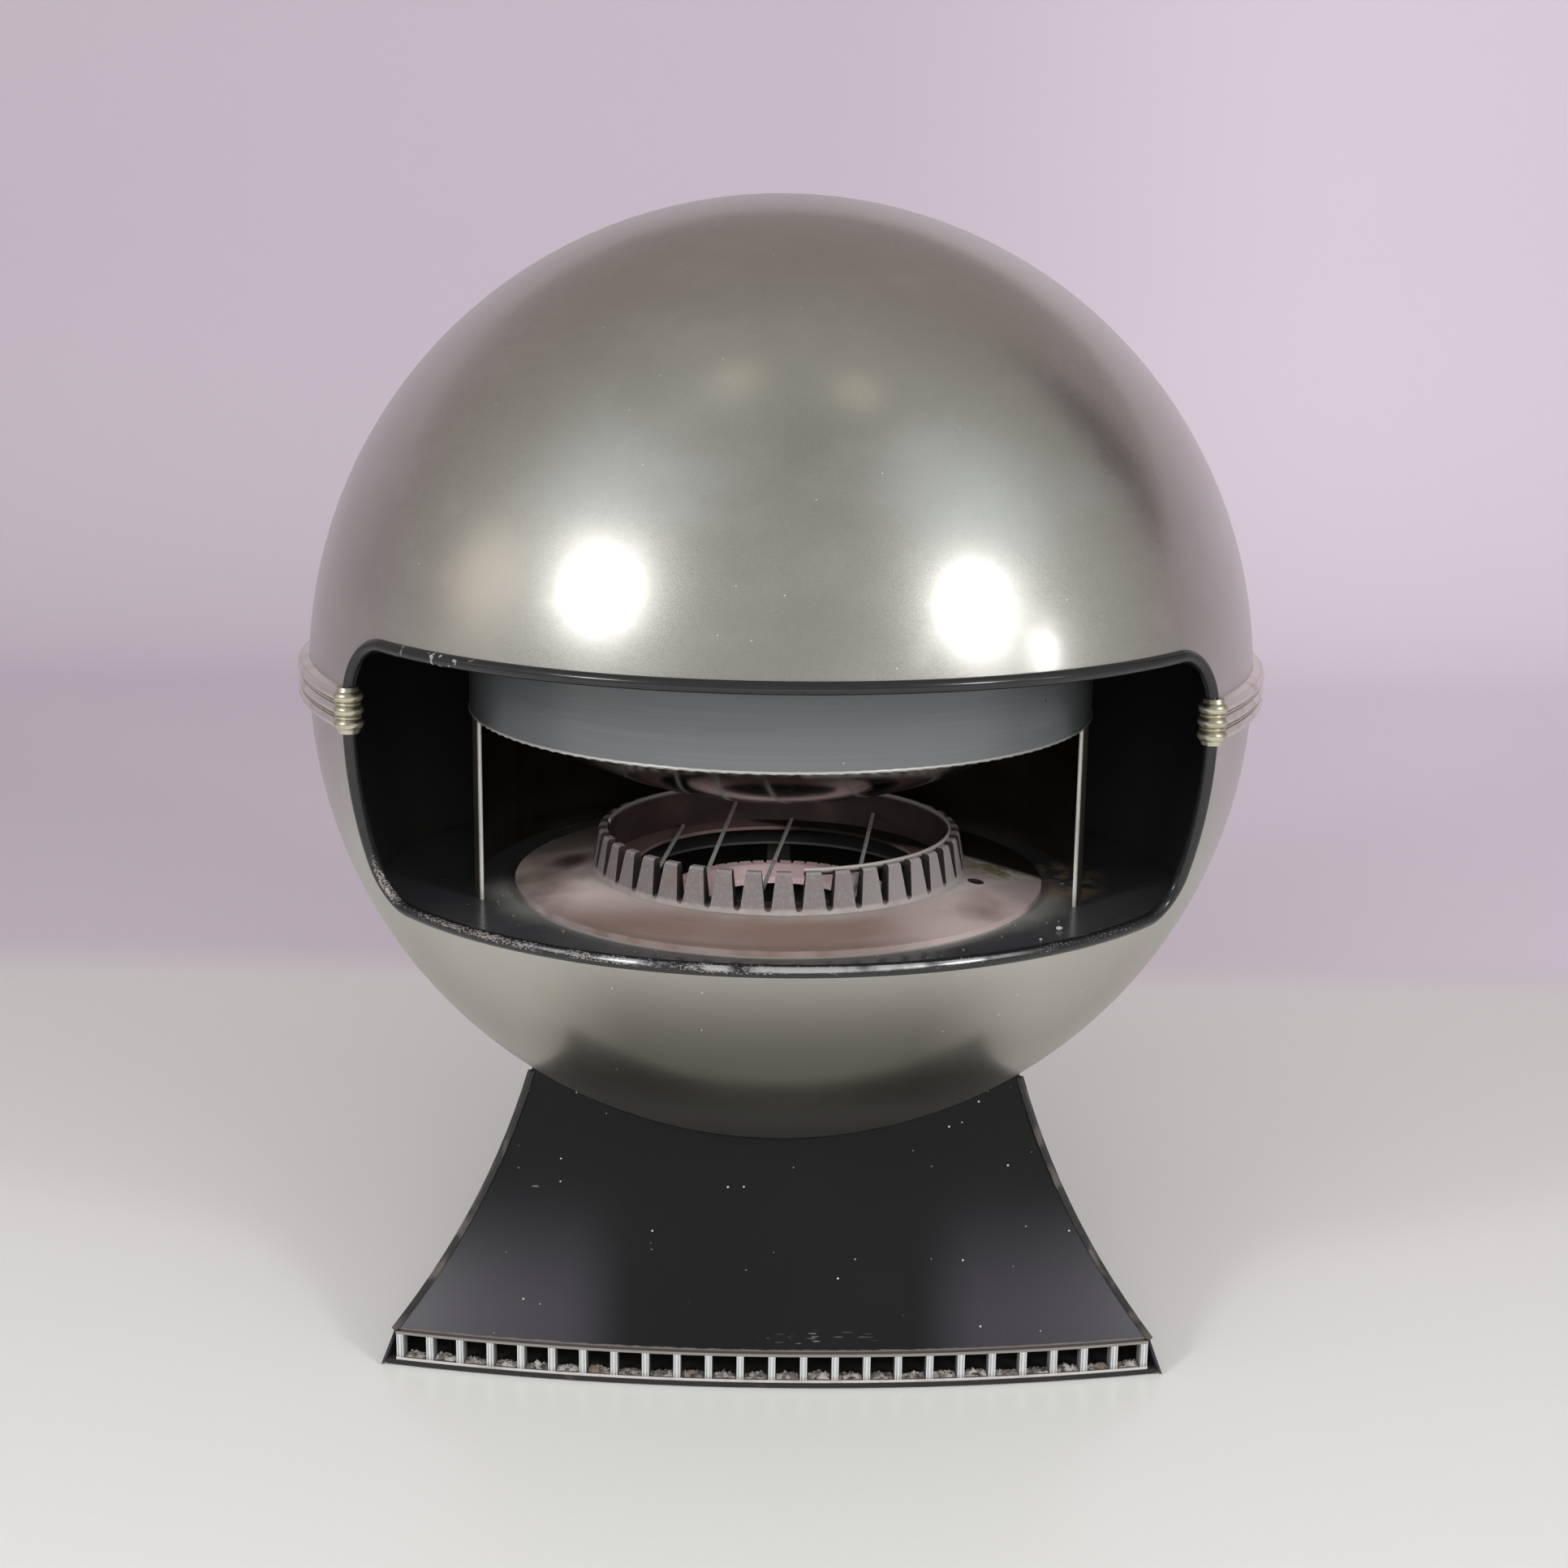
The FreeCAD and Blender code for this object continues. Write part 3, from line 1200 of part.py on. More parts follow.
def igniter_button():
    """Push button of the spark igniter."""
    face = COLLAR_FACE + BUTTON_PROUD
    button = local_rod(IGNITER_SHIFT, 0, COLLAR_FACE - BUTTON_GUIDE, face, BUTTON_RADIUS)
    rim = [edge for edge in button.Edges if all(v.Z > COLLAR_FACE for v in edge.Vertexes)]
    return placed(button.makeFillet(BUTTON_EDGE, rim))


def valve_bracket():
    """Upright plate from the tray to the underside of the valve."""
    seat = local(0, 0, VALVE_MIDDLE)
    reach = math.hypot(seat.x, seat.y)
    post = block(VALVE_WIDTH, BRACKET_WALL, TRAY_HEIGHT, seat.z, reach, CONTROL_AZIMUTH)
    foot_top = TRAY_HEIGHT + BRACKET_WALL
    foot_reach = reach - VALVE_BREADTH / 2
    foot = block(VALVE_WIDTH, VALVE_BREADTH, TRAY_HEIGHT, foot_top, foot_reach, CONTROL_AZIMUTH)
    body = placed(local_box(0, 0, VALVE_BACK, VALVE_FRONT, VALVE_WIDTH, VALVE_BREADTH))
    return post.fuse(foot).removeSplitter().cut(body)


# Pipes and leads


def supply_pipe():
    """Gas pipe from the valve's outlet to the injector on the ball's axis."""
    start = local(0, 0, VALVE_BACK - PORT_BOSS_LENGTH)
    inward = local(0, 0, -1) - local(0, 0, 0)
    turn = start + inward * ((SUPPLY_Z - start.z) / inward.z)
    return tube(
        (start, turn, Vector(0, 0, SUPPLY_Z), Vector(0, 0, VENTURI_FOOT - VENTURI_COLLAR)),
        SUPPLY_BEND,
        SUPPLY_DIAMETER,
    )


def inlet_route():
    """Points of the gas inlet pipe, from the valve's side boss out through the left rear panel."""
    side = VALVE_WIDTH / 2 + PORT_BOSS_LENGTH
    start = local(side, 0, VALVE_MIDDLE)
    corner = local(side + INLET_RUN, 0, VALVE_MIDDLE)
    outward = polar(1, INLET_AZIMUTH, 0)
    wall = flare(corner.z) - SIDE_AXIS_REACH + INLET_PROUD
    end = corner + outward * (wall - corner.dot(outward))
    return start, corner, end


def inlet_pipe():
    """Gas pipe from the union behind the base to the valve."""
    return tube(inlet_route(), INLET_BEND, INLET_DIAMETER)


def inlet_union():
    """Hexagon and threaded stub where the house gas line is screwed on."""
    end = inlet_route()[-1]
    outward = polar(1, INLET_AZIMUTH, 0)
    corners = [polar(UNION_HEX_RADIUS, 360.0 * index / HEX_SIDES, 0) for index in range(HEX_SIDES)]
    nut = Part.Face(Part.makePolygon(corners + corners[:1])).extrude(UP * UNION_HEX_LENGTH)
    stub = Part.makeCylinder(UNION_THREAD_RADIUS, UNION_THREAD_LENGTH, UP * UNION_HEX_LENGTH)
    union = nut.fuse(stub).removeSplitter()
    union.Placement = FreeCAD.Placement(end, FreeCAD.Rotation(UP, outward))
    return union


def pilot_feed(step, foot):
    """Last points of a thin line: under the saddle ring, up through the air hole and below a pilot piece."""
    throat_azimuth = THROAT_AZIMUTH - step * THROAT_SPACING_ANGLE
    throat = polar(THROAT_RADIUS, throat_azimuth, SADDLE_FOOT - THROAT_DROP)
    return throat, foot - UP * LEAD_DROP, foot


def valve_line(x, depth):
    """First points of a thin line that leaves the top of the gas valve."""
    return local(x, VALVE_BREADTH / 2, depth), local(x, VALVE_BREADTH / 2 + LEAD_STUB, depth)


def pilot_pipe():
    """Thin gas pipe from the valve to the pilot burner."""
    feed = pilot_feed(0, pilot_foot(0, PILOT_RISE, PILOT_LENGTH))
    return tube(valve_line(0, VALVE_MIDDLE) + feed, LEAD_BEND, PILOT_PIPE_DIAMETER)


def thermocouple_lead():
    """Thin copper lead from the flame probe to the valve's magnet."""
    feed = pilot_feed(-1, pilot_foot(-1, PROBE_RISE, PROBE_LENGTH))
    return tube(valve_line(LEAD_SHIFT, VALVE_BACK + PROBE_DIAMETER) + feed, LEAD_BEND, PROBE_LEAD_DIAMETER)


def ignition_lead():
    """Insulated lead from the spark igniter to the electrode."""
    back = COLLAR_FACE - IGNITER_LENGTH
    start = local(IGNITER_SHIFT, 0, back), local(IGNITER_SHIFT, 0, back - LEAD_STUB)
    feed = pilot_feed(1, pilot_foot(1, 0, ELECTRODE_LENGTH))
    return tube(start + feed, LEAD_BEND, IGNITION_LEAD_DIAMETER)


def save(node, *shapes):
    """Write a node as one STEP file, as separate solids where it has several."""
    solids = [solid for shape in shapes for solid in shape.Solids]
    shape = solids[0] if len(solids) == 1 else Part.makeCompound(solids)
    if not shape.isValid():
        print("invalid shape:", node)
    shape.exportStep("parts/%s.step" % node)
    print("%-20s %3d solids %12.1f mm3" % (node, len(solids), shape.Volume))


def build_ball():
    """The two halves of the ball, the mouth's edge and the trim round the joint."""
    bead = mouth_bead()
    caps = {side: trim_cap(side) for side in (-1, 1)}
    band = trim_band().cut(caps[-1]).cut(caps[1])
    screws = joint_screws()
    screw_set = Part.makeCompound(screws)
    cutter = mouth_cutter()
    upper = dome(1).cut(cutter).cut(bead).cut(screw_set)
    flue_hole = rod(Vector(0, 0, FLUE_Z), Vector(0, 2 * BALL_RADIUS, FLUE_Z), 2 * COLLAR_RADIUS)
    upper = upper.cut(flue_hole)
    lower = dome(-1).cut(cutter).cut(bead).cut(screw_set)
    lower = lower.cut(Part.makeCylinder(AIR_HOLE_RADIUS, BALL_CENTRE_Z))
    save("upper_shell", upper)
    save("lower_shell", lower)
    save("mouth_bead", bead)
    save("trim_band", band.cut(bead).cut(screw_set))
    for side, name in ((-1, "left"), (1, "right")):
        save("trim_cap_" + name, caps[side].cut(bead).cut(upper).cut(lower))
    save("joint_ring", joint_ring().cut(screw_set))
    save("joint_screws", *screws)


def build_firebox():
    """Hearth, burner plate, crown, reflector, hood, bowl and flue."""
    save("hearth_floor", hearth_floor())
    save("hearth_brackets", *hearth_brackets())
    save("burner_plate", burner_plate())
    save("flame_crown", flame_crown())
    save("crown_liner", crown_liner())
    save("grate_wires", *grate_wires())
    save("reflector", reflector())
    save("hood", hood())
    save("hood_brackets", *hood_brackets())
    save("deflector_bowl", deflector_bowl())
    save("bowl_hangers", *bowl_hangers())
    save("flue_pipe", flue_pipe())
    save("flue_collar", flue_collar())
    save("flue_spigot", flue_spigot())


def build_burner():
    """Burner, mixing tube, jet and pilot group."""
    save("burner_cap", burner_cap())
    save("burner_pan", burner_pan())
    save("burner_hangers", *burner_hangers())
    save("venturi", venturi())
    save("injector", injector())
    save("pilot_bracket", pilot_bracket())
    save("pilot_burner", pilot_burner())
    save("thermocouple", thermocouple())
    save("spark_electrode", spark_electrode())


def build_base():
    """Panels, tray, grille and the seat for the ball."""
    holes = control_holes()
    inlet = inlet_pipe()
    front = side_panel(FRONT, False)
    right = side_panel(RIGHT_REAR, True).cut(holes)
    left = side_panel(LEFT_REAR, True).cut(inlet)
    panels = Part.makeCompound([front, right, left])
    save("front_panel", front)
    save("right_rear_panel", right)
    save("left_rear_panel", left)
    corners = [(index + 0.5) * SIDE_ANGLE for index in range(SIDES)]
    save("corner_strips", *[corner_strip(azimuth).cut(panels) for azimuth in corners])
    save("base_tray", base_tray())
    save("feet", *feet())
    save("grille_rails", *grille_rails())
    save("grille_slats", *grille_slats())
    save("saddle_ring", saddle_ring())
    save("saddle_legs", *saddle_legs())


def build_controls():
    """Gas valve, knob, igniter and the lines between them and the burner."""
    save("control_plate", control_plate())
    save("gas_valve", gas_valve())
    save("valve_bracket", valve_bracket())
    save("safety_plunger", safety_plunger())
    save("valve_spindle", valve_spindle())
    save("control_knob", control_knob())
    save("igniter_body", igniter_body())
    save("igniter_button", igniter_button())
    save("inlet_pipe", inlet_pipe())
    save("inlet_union", inlet_union())
    save("supply_pipe", supply_pipe())
    save("pilot_pipe", pilot_pipe())
    save("thermocouple_lead", thermocouple_lead())
    save("ignition_lead", ignition_lead())


os.makedirs("parts", exist_ok=True)
build_ball()
build_firebox()
build_burner()
build_base()
build_controls()
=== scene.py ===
"""Looks of a ball-shaped gas fire: finishes, worn details, floor, light and camera. Metres, +Z up."""
import json
import math
import random

import bmesh
import bpy
from mathutils import Matrix, Vector, noise


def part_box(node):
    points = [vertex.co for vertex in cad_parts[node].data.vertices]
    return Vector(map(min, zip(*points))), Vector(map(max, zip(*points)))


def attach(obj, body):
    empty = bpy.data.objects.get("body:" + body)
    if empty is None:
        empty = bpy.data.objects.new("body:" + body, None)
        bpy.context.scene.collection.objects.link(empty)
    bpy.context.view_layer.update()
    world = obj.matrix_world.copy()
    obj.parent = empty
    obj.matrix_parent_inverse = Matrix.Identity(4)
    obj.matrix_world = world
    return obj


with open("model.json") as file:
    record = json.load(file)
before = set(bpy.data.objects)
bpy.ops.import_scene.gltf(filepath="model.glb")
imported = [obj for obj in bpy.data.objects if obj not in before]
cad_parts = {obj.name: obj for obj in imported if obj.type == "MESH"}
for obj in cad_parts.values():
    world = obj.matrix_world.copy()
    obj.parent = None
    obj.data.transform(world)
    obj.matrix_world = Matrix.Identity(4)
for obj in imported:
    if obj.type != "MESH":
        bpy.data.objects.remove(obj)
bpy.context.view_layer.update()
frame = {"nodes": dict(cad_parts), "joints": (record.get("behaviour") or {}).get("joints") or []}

NODES = frame["nodes"]
JOINTS = {joint["name"]: joint for joint in frame["joints"]}
UP = Vector((0, 0, 1))

# Places read from the frame
BALL_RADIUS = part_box("upper_shell")[1].x
BALL_CENTRE = Vector((0, 0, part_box("upper_shell")[1].z - BALL_RADIUS))
MOUTH_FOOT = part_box("mouth_bead")[0].z
MOUTH_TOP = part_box("mouth_bead")[1].z
HEARTH_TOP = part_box("hearth_floor")[1].z
PLATE_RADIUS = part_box("burner_plate")[1].x
PLATE_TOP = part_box("burner_plate")[1].z
CROWN_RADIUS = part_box("flame_crown")[1].x
CROWN_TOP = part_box("flame_crown")[1].z
LINER_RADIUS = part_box("crown_liner")[1].x
HOOD_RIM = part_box("hood")[0].z
PANEL_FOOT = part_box("front_panel")[0].z
REAR_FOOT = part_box("right_rear_panel")[0].z
TRAY_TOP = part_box("base_tray")[1].z
TRIM_MIDDLE = (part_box("trim_band")[0].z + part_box("trim_band")[1].z) / 2
BURNER_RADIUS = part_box("burner_cap")[1].x
SLAT_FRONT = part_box("grille_slats")[0].y
SLAT_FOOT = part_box("grille_slats")[0].z
KNOB_SEAT = Vector(JOINTS["knob_turn"]["pos_m"])
KNOB_OUT = Vector(JOINTS["knob_turn"]["axis"]).normalized()
KNOB_SWEEP = math.radians(JOINTS["knob_turn"]["range_deg"][1])
BUTTON_MIDDLE = (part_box("igniter_button")[0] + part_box("igniter_button")[1]) / 2
DIAL_ACROSS = KNOB_OUT.cross((BUTTON_MIDDLE - KNOB_SEAT).cross(KNOB_OUT)).normalized()
DIAL_DOWN = KNOB_OUT.cross(DIAL_ACROSS)

# Marks on the hearth and the burner plate
PEEP_HOLE = Vector((0.1421, -0.0413, 0))
PEEP_RADIUS = 0.005
# Place of the painted shade on the burner plate, left of the crown
PAINTED_SHADE_PLACE = Vector((-0.152, 0.004, PLATE_TOP))
STAIN_PLACE = Vector((0.158, -0.004, PLATE_TOP))
RUST_PLACE = Vector((0.212, 0.0, HEARTH_TOP))

# Details of the dial and its plate
RAY_START = 0.06
SCREW_RADIUS = 0.0031
SCREW_HEIGHT = 0.0016
SCREW_SLOT = 0.0008
SCREW_PLACES = [(across, down) for across in (-0.0335, 0.0775) for down in (-0.0225, 0.0225)]
DIAL_MARKS = 10
MARK_RADIUS = 0.0225
MARK_LENGTH = 0.0032
MARK_WIDTH = 0.0008
MARK_HEIGHT = 0.00015
LINE_START = 0.008
LINE_LENGTH = 0.009

# Dust in the grille and on the hearth
GRILLE_BOW = 1.276
SLAT_GAP = 0.010
FLUFF_CLEARANCE = 0.0008
FLUFF_FRONT = 0.0016
FLUFF_DEPTH = 0.0070
FLUFF_HEIGHT = 0.0056
FLUFF_COLUMNS = 44
FLUFF_ROWS = 16
CRUMB_COUNT = 34
CRUMB_ANGLES = (18, 88)
CRUMB_GAP = 0.004
CRUMB_SPREAD = 0.018
CRUMB_SIZES = (0.0004, 0.0012)
WHITE_CRUMBS = ((0.194, -0.123, 0.0024), (0.179, -0.146, 0.0011))

# Camera of the photograph
CAMERA_EYE = Vector((0.0, -1.7297, 0.8070))
CAMERA_YAW = math.radians(0.105)
CAMERA_PITCH = math.radians(13.643)
CAMERA_ROLL = math.radians(0.795)
CAMERA_LENS = 55.9

# Studio
FLOOR_REACH = 9.0
WALL_Y = 3.0
WALL_HEIGHT = 2.6
COVE_RADIUS = 0.7
COVE_STEPS = 16
LILAC_START = 0.68
LILAC_END = 0.84
LIGHT_DISTANCE = 3.2
ROOM_FRONT = (0.385, 0.385, 0.362)
ROOM_BACK = (0.31, 0.27, 0.265)

# Lamps: name, direction from the ball's centre, width, height, power, shown in polished metal or not
LAMPS = (
    ("softbox_left", (-0.625, -0.667, 0.402), 0.42, 0.42, 20.0, True),
    ("softbox_right", (0.658, -0.664, 0.353), 0.30, 0.50, 18.5, True),
    ("softbox_small", (0.858, -0.482, 0.174), 0.13, 0.28, 2.4, True),
    ("fill_left", (-0.62, -0.74, 0.26), 1.5, 1.1, 22.0, False),
    ("fill_right", (0.62, -0.74, 0.26), 1.5, 1.1, 22.0, False),
    ("fill_front", (0.0, -0.965, 0.262), 1.8, 1.2, 31.0, False),
    ("fill_high", (0.0, -0.60, 0.80), 2.0, 2.0, 9.0, False),
)

# Patches of the room that the ball mirrors: direction, weights of its axes, radius, colour
PATCH_CORE = 0.25
ROOM_PATCHES = (
    ((-0.60, -0.42, 0.66), (1, 1, 1), 0.44, (0.70, 0.72, 0.75)),
    ((0.64, -0.42, 0.63), (1, 1, 1), 0.44, (0.74, 0.78, 0.81)),
    ((0.12, -0.45, 0.89), (1, 1, 1), 0.24, (0.31, 0.31, 0.29)),
    ((-0.16, -0.15, 0.98), (1, 1, 1), 0.12, (0.92, 0.85, 0.70)),
    ((0.24, -0.18, 0.96), (1, 1, 1), 0.12, (0.86, 0.79, 0.66)),
    ((-0.93, -0.20, 0.32), (1, 1, 1), 0.26, (1.02, 0.93, 0.83)),
    ((0.78, 0.36, 0.48), (0.34, 1, 0.34), 0.15, (0.03, 0.022, 0.02)),
)

# Mix node sockets by data type: factor, first, second, result
MIX_SOCKETS = {"FLOAT": (0, 2, 3, 0), "RGBA": (0, 6, 7, 2)}


class Finish:
    """A Principled material put together from short procedural steps, in the frame's own metres."""

    def __init__(self, name, colour, roughness, metallic=0.0, **sockets):
        self.material = bpy.data.materials.new(name)
        self.material.use_nodes = True
        self.tree = self.material.node_tree
        self.shader = self.tree.nodes["Principled BSDF"]
        self.place = self.node("ShaderNodeTexCoord").outputs["Object"]
        values = {"Base Color": (*colour, 1.0), "Roughness": roughness, "Metallic": metallic}
        values.update({socket.replace("_", " "): value for socket, value in sockets.items()})
        for socket, value in values.items():
            self.shader.inputs[socket].default_value = value

    def node(self, kind, inputs=None, **settings):
        """New node with settings, whose inputs are numbers or other nodes' sockets."""
        node = self.tree.nodes.new(kind)
        for name, value in settings.items():
            setattr(node, name, value)
        for key, value in (inputs or {}).items():
            if isinstance(value, bpy.types.NodeSocket):
                self.tree.links.new(value, node.inputs[key])
            else:
                node.inputs[key].default_value = value
        return node

    def noise(self, scale, detail=3.0, stretch=(1, 1, 1), shift=0.0):
        """Cloudy value about 0.5, with a scale per metre along each stretched axis."""
        place = self.node(
            "ShaderNodeMapping", {"Vector": self.place, "Scale": stretch, "Location": (shift,) * 3}
        )
        inputs = {"Vector": place.outputs[0], "Scale": scale, "Detail": detail}
        return self.node("ShaderNodeTexNoise", inputs).outputs["Fac"]

    def ramp(self, value, start, end):
        """Soft step from 0 where the value is at its start to 1 where it is at its end."""
        inputs = {"Value": value, "From Min": start, "From Max": end}
        return self.node("ShaderNodeMapRange", inputs, interpolation_type="SMOOTHSTEP").outputs[0]

    def maths(self, operation, first, second):
        """Sum, product, greater or other two-number operation."""
        return self.node("ShaderNodeMath", {0: first, 1: second}, operation=operation).outputs[0]

    def absolute(self, value):
        """Size of a number without its sign."""
        return self.maths("ABSOLUTE", value, 0.0)

    def vector(self, operation, first, second=(0, 0, 0)):
        """Vector that an operation makes of one or two vectors, such as their product."""
        node = self.node("ShaderNodeVectorMath", {0: first, 1: second}, operation=operation)
        return node.outputs["Vector"]

    def measure(self, operation, first, second=(0, 0, 0)):
        """Number that an operation makes of one or two vectors, such as a length."""
        node = self.node("ShaderNodeVectorMath", {0: first, 1: second}, operation=operation)
        return node.outputs["Value"]

    def both(self, first, second):
        """Mask where two masks meet."""
        return self.maths("MULTIPLY", first, second)

    def specks(self, pitch, size, share, stretch=(1, 1, 1)):
        """Mask of small spots of a radius, in a share of random cells of a pitch."""
        place = self.node("ShaderNodeMapping", {"Vector": self.place, "Scale": stretch})
        cells = self.node("ShaderNodeTexVoronoi", {"Vector": place.outputs[0], "Scale": 1 / pitch})
        spot = self.ramp(cells.outputs["Distance"], size / pitch, 0.5 * size / pitch)
        lot = self.node("ShaderNodeSeparateColor", {0: cells.outputs["Color"]}).outputs[0]
        return self.both(spot, self.maths("LESS_THAN", lot, share))

    def along(self, axis):
        """Coordinate in the frame along X, Y or Z."""
        return self.node("ShaderNodeSeparateXYZ", {0: self.place}).outputs[axis]

    def reach(self):
        """Distance from the ball's upright axis."""
        return self.measure("LENGTH", self.vector("MULTIPLY", self.place, (1, 1, 0)))

    def away(self, point, squash=(1, 1, 1)):
        """Distance from a point, with each axis weighed."""
        offset = self.vector("SUBTRACT", self.place, point)
        return self.measure("LENGTH", self.vector("MULTIPLY", offset, squash))

    def facing(self, direction):
        """How far the surface faces a direction, from -1 to 1."""
        normal = self.node("ShaderNodeNewGeometry").outputs["Normal"]
        return self.measure("DOT_PRODUCT", normal, direction)

    def sideways(self):
        """How far the surface faces round the ball's upright axis, from 0 to 1."""
        normal = self.node("ShaderNodeNewGeometry").outputs["Normal"]
        outward = self.vector("NORMALIZE", self.vector("MULTIPLY", self.place, (1, 1, 0)))
        turned = self.vector("CROSS_PRODUCT", outward, normal)
        return self.absolute(self.node("ShaderNodeSeparateXYZ", {0: turned}).outputs["Z"])

    def layer(self, mask, **sockets):
        """Lays colours or numbers over what the shader's sockets hold, where the mask is 1."""
        for name, value in sockets.items():
            target = self.shader.inputs[name.replace("_", " ")]
            kind = "RGBA" if target.type == "RGBA" else "FLOAT"
            factor, first, second, result = MIX_SOCKETS[kind]
            below = target.links[0].from_socket if target.is_linked else target.default_value
            above = (*value, 1.0) if kind == "RGBA" else value
            mix = self.node("ShaderNodeMix", data_type=kind)
            for index, part in ((factor, mask), (first, below), (second, above)):
                if isinstance(part, bpy.types.NodeSocket):
                    self.tree.links.new(part, mix.inputs[index])
                else:
                    mix.inputs[index].default_value = part
            self.tree.links.new(mix.outputs[result], target)

    def mottle(self, scale, start, end, detail=5, shift=0.0, **sockets):
        """Lays colours or numbers over cloudy patches."""
        self.layer(self.ramp(self.noise(scale, detail=detail, shift=shift), start, end), **sockets)

    def bump(self, value, depth):
        """Raises the surface by a depth in metres where the value is 1."""
        target = self.shader.inputs["Normal"]
        inputs = {"Height": value, "Distance": depth}
        if target.is_linked:
            inputs["Normal"] = target.links[0].from_socket
        self.tree.links.new(self.node("ShaderNodeBump", inputs).outputs[0], target)


class Room(Finish):
    """The world's light put together from the same steps, over directions seen from the ball."""

    def __init__(self, name, colour):
        world = bpy.data.worlds.new(name)
        world.use_nodes = True
        bpy.context.scene.world = world
        self.tree = world.node_tree
        self.shader = self.tree.nodes["Background"]
        self.place = self.node("ShaderNodeTexCoord").outputs["Generated"]
        self.shader.inputs["Color"].default_value = (*colour, 1.0)


# Finishes of the ball


def ball_nickel():
    """Satin nickel: a grain that hazes highlights, clouds, smudges, specks, pits, a painted dark reflection
    of the base underneath.
    """
    finish = Finish("ball_nickel", (0.570, 0.562, 0.515), roughness=0.17, metallic=1.0)
    clouds = finish.ramp(finish.noise(4.0, detail=3), 0.30, 0.78)
    finish.layer(clouds, Base_Color=(0.61, 0.604, 0.565), Roughness=0.19)
    wipes = finish.ramp(finish.noise(11.0, detail=4, stretch=(1, 1, 1.6), shift=3), 0.46, 0.86)
    finish.layer(wipes, Base_Color=(0.655, 0.65, 0.625), Roughness=0.26)
    smudges = finish.ramp(finish.noise(26, detail=6, stretch=(1, 1, 1.5), shift=6), 0.48, 0.84)
    finish.layer(finish.both(smudges, 0.4), Base_Color=(0.66, 0.656, 0.635), Roughness=0.32)
    grain = finish.ramp(finish.noise(7000, detail=1), 0.44, 0.56)
    finish.layer(grain, Roughness=0.38)
    # Painted reflection: the underside darkened, most in the middle, as the black base would mirror in it;
    # paler and rougher again at the very bottom.
    under = finish.ramp(finish.along("Z"), MOUTH_FOOT + 0.045, MOUTH_FOOT - 0.075)
    middle = finish.ramp(finish.absolute(finish.along("X")), 0.175, 0.085)
    finish.layer(under, Base_Color=(0.465, 0.440, 0.385))
    finish.layer(finish.both(under, middle), Base_Color=(0.158, 0.153, 0.123))
    bottom = finish.ramp(finish.along("Z"), MOUTH_FOOT - 0.090, MOUTH_FOOT - 0.140)
    finish.layer(bottom, Base_Color=(0.36, 0.352, 0.325), Roughness=0.36)
    finish.bump(finish.noise(1.0, detail=2, stretch=(5, 5, 700)), 0.000004)
    finish.layer(finish.specks(0.0095, 0.0007, 0.20), Base_Color=(0.86, 0.85, 0.81), Roughness=0.6)
    pits = finish.specks(0.026, 0.0011, 0.12)
    finish.layer(pits, Base_Color=(0.05, 0.04, 0.035), Metallic=0.0, Roughness=0.8)
    return finish.material


def ball_inside():
    """Matt black heat paint inside the ball, greyed by dust low down."""
    finish = Finish("ball_inside", (0.046, 0.046, 0.048), roughness=0.62)
    finish.mottle(30, 0.55, 0.8, Base_Color=(0.056, 0.054, 0.053))
    low = finish.ramp(finish.along("Z"), HEARTH_TOP + 0.06, HEARTH_TOP)
    finish.layer(finish.both(low, finish.noise(45, detail=6)), Base_Color=(0.05, 0.046, 0.042))
    finish.bump(finish.noise(700, detail=3), 0.00008)
    return finish.material


def trim_nickel():
    """Drawn moulding: lengthwise lines, brown dirt in the grooves between its ridges."""
    finish = Finish("trim_nickel", (0.78, 0.745, 0.69), roughness=0.30, metallic=1.0)
    finish.bump(finish.noise(1.0, detail=2, stretch=(8, 8, 1600)), 0.00001)
    dirt = finish.ramp(finish.noise(60, detail=5), 0.52, 0.80)
    finish.layer(dirt, Base_Color=(0.64, 0.59, 0.515), Roughness=0.42)
    deep = finish.ramp(finish.away(BALL_CENTRE), BALL_RADIUS + 0.0062, BALL_RADIUS + 0.0053)
    level = finish.absolute(finish.maths("SUBTRACT", finish.along("Z"), TRIM_MIDDLE))
    among = finish.ramp(level, 0.0130, 0.0115)
    finish.layer(finish.both(deep, among), Base_Color=(0.40, 0.36, 0.29), Roughness=0.5)
    return finish.material


def cap_brass():
    """Pale satin brass rings, browner in patches."""
    finish = Finish("cap_brass", (0.64, 0.595, 0.475), roughness=0.34, metallic=1.0)
    tarnish = finish.ramp(finish.noise(90, detail=5), 0.45, 0.75)
    finish.layer(tarnish, Base_Color=(0.50, 0.455, 0.345), Roughness=0.44)
    return finish.material


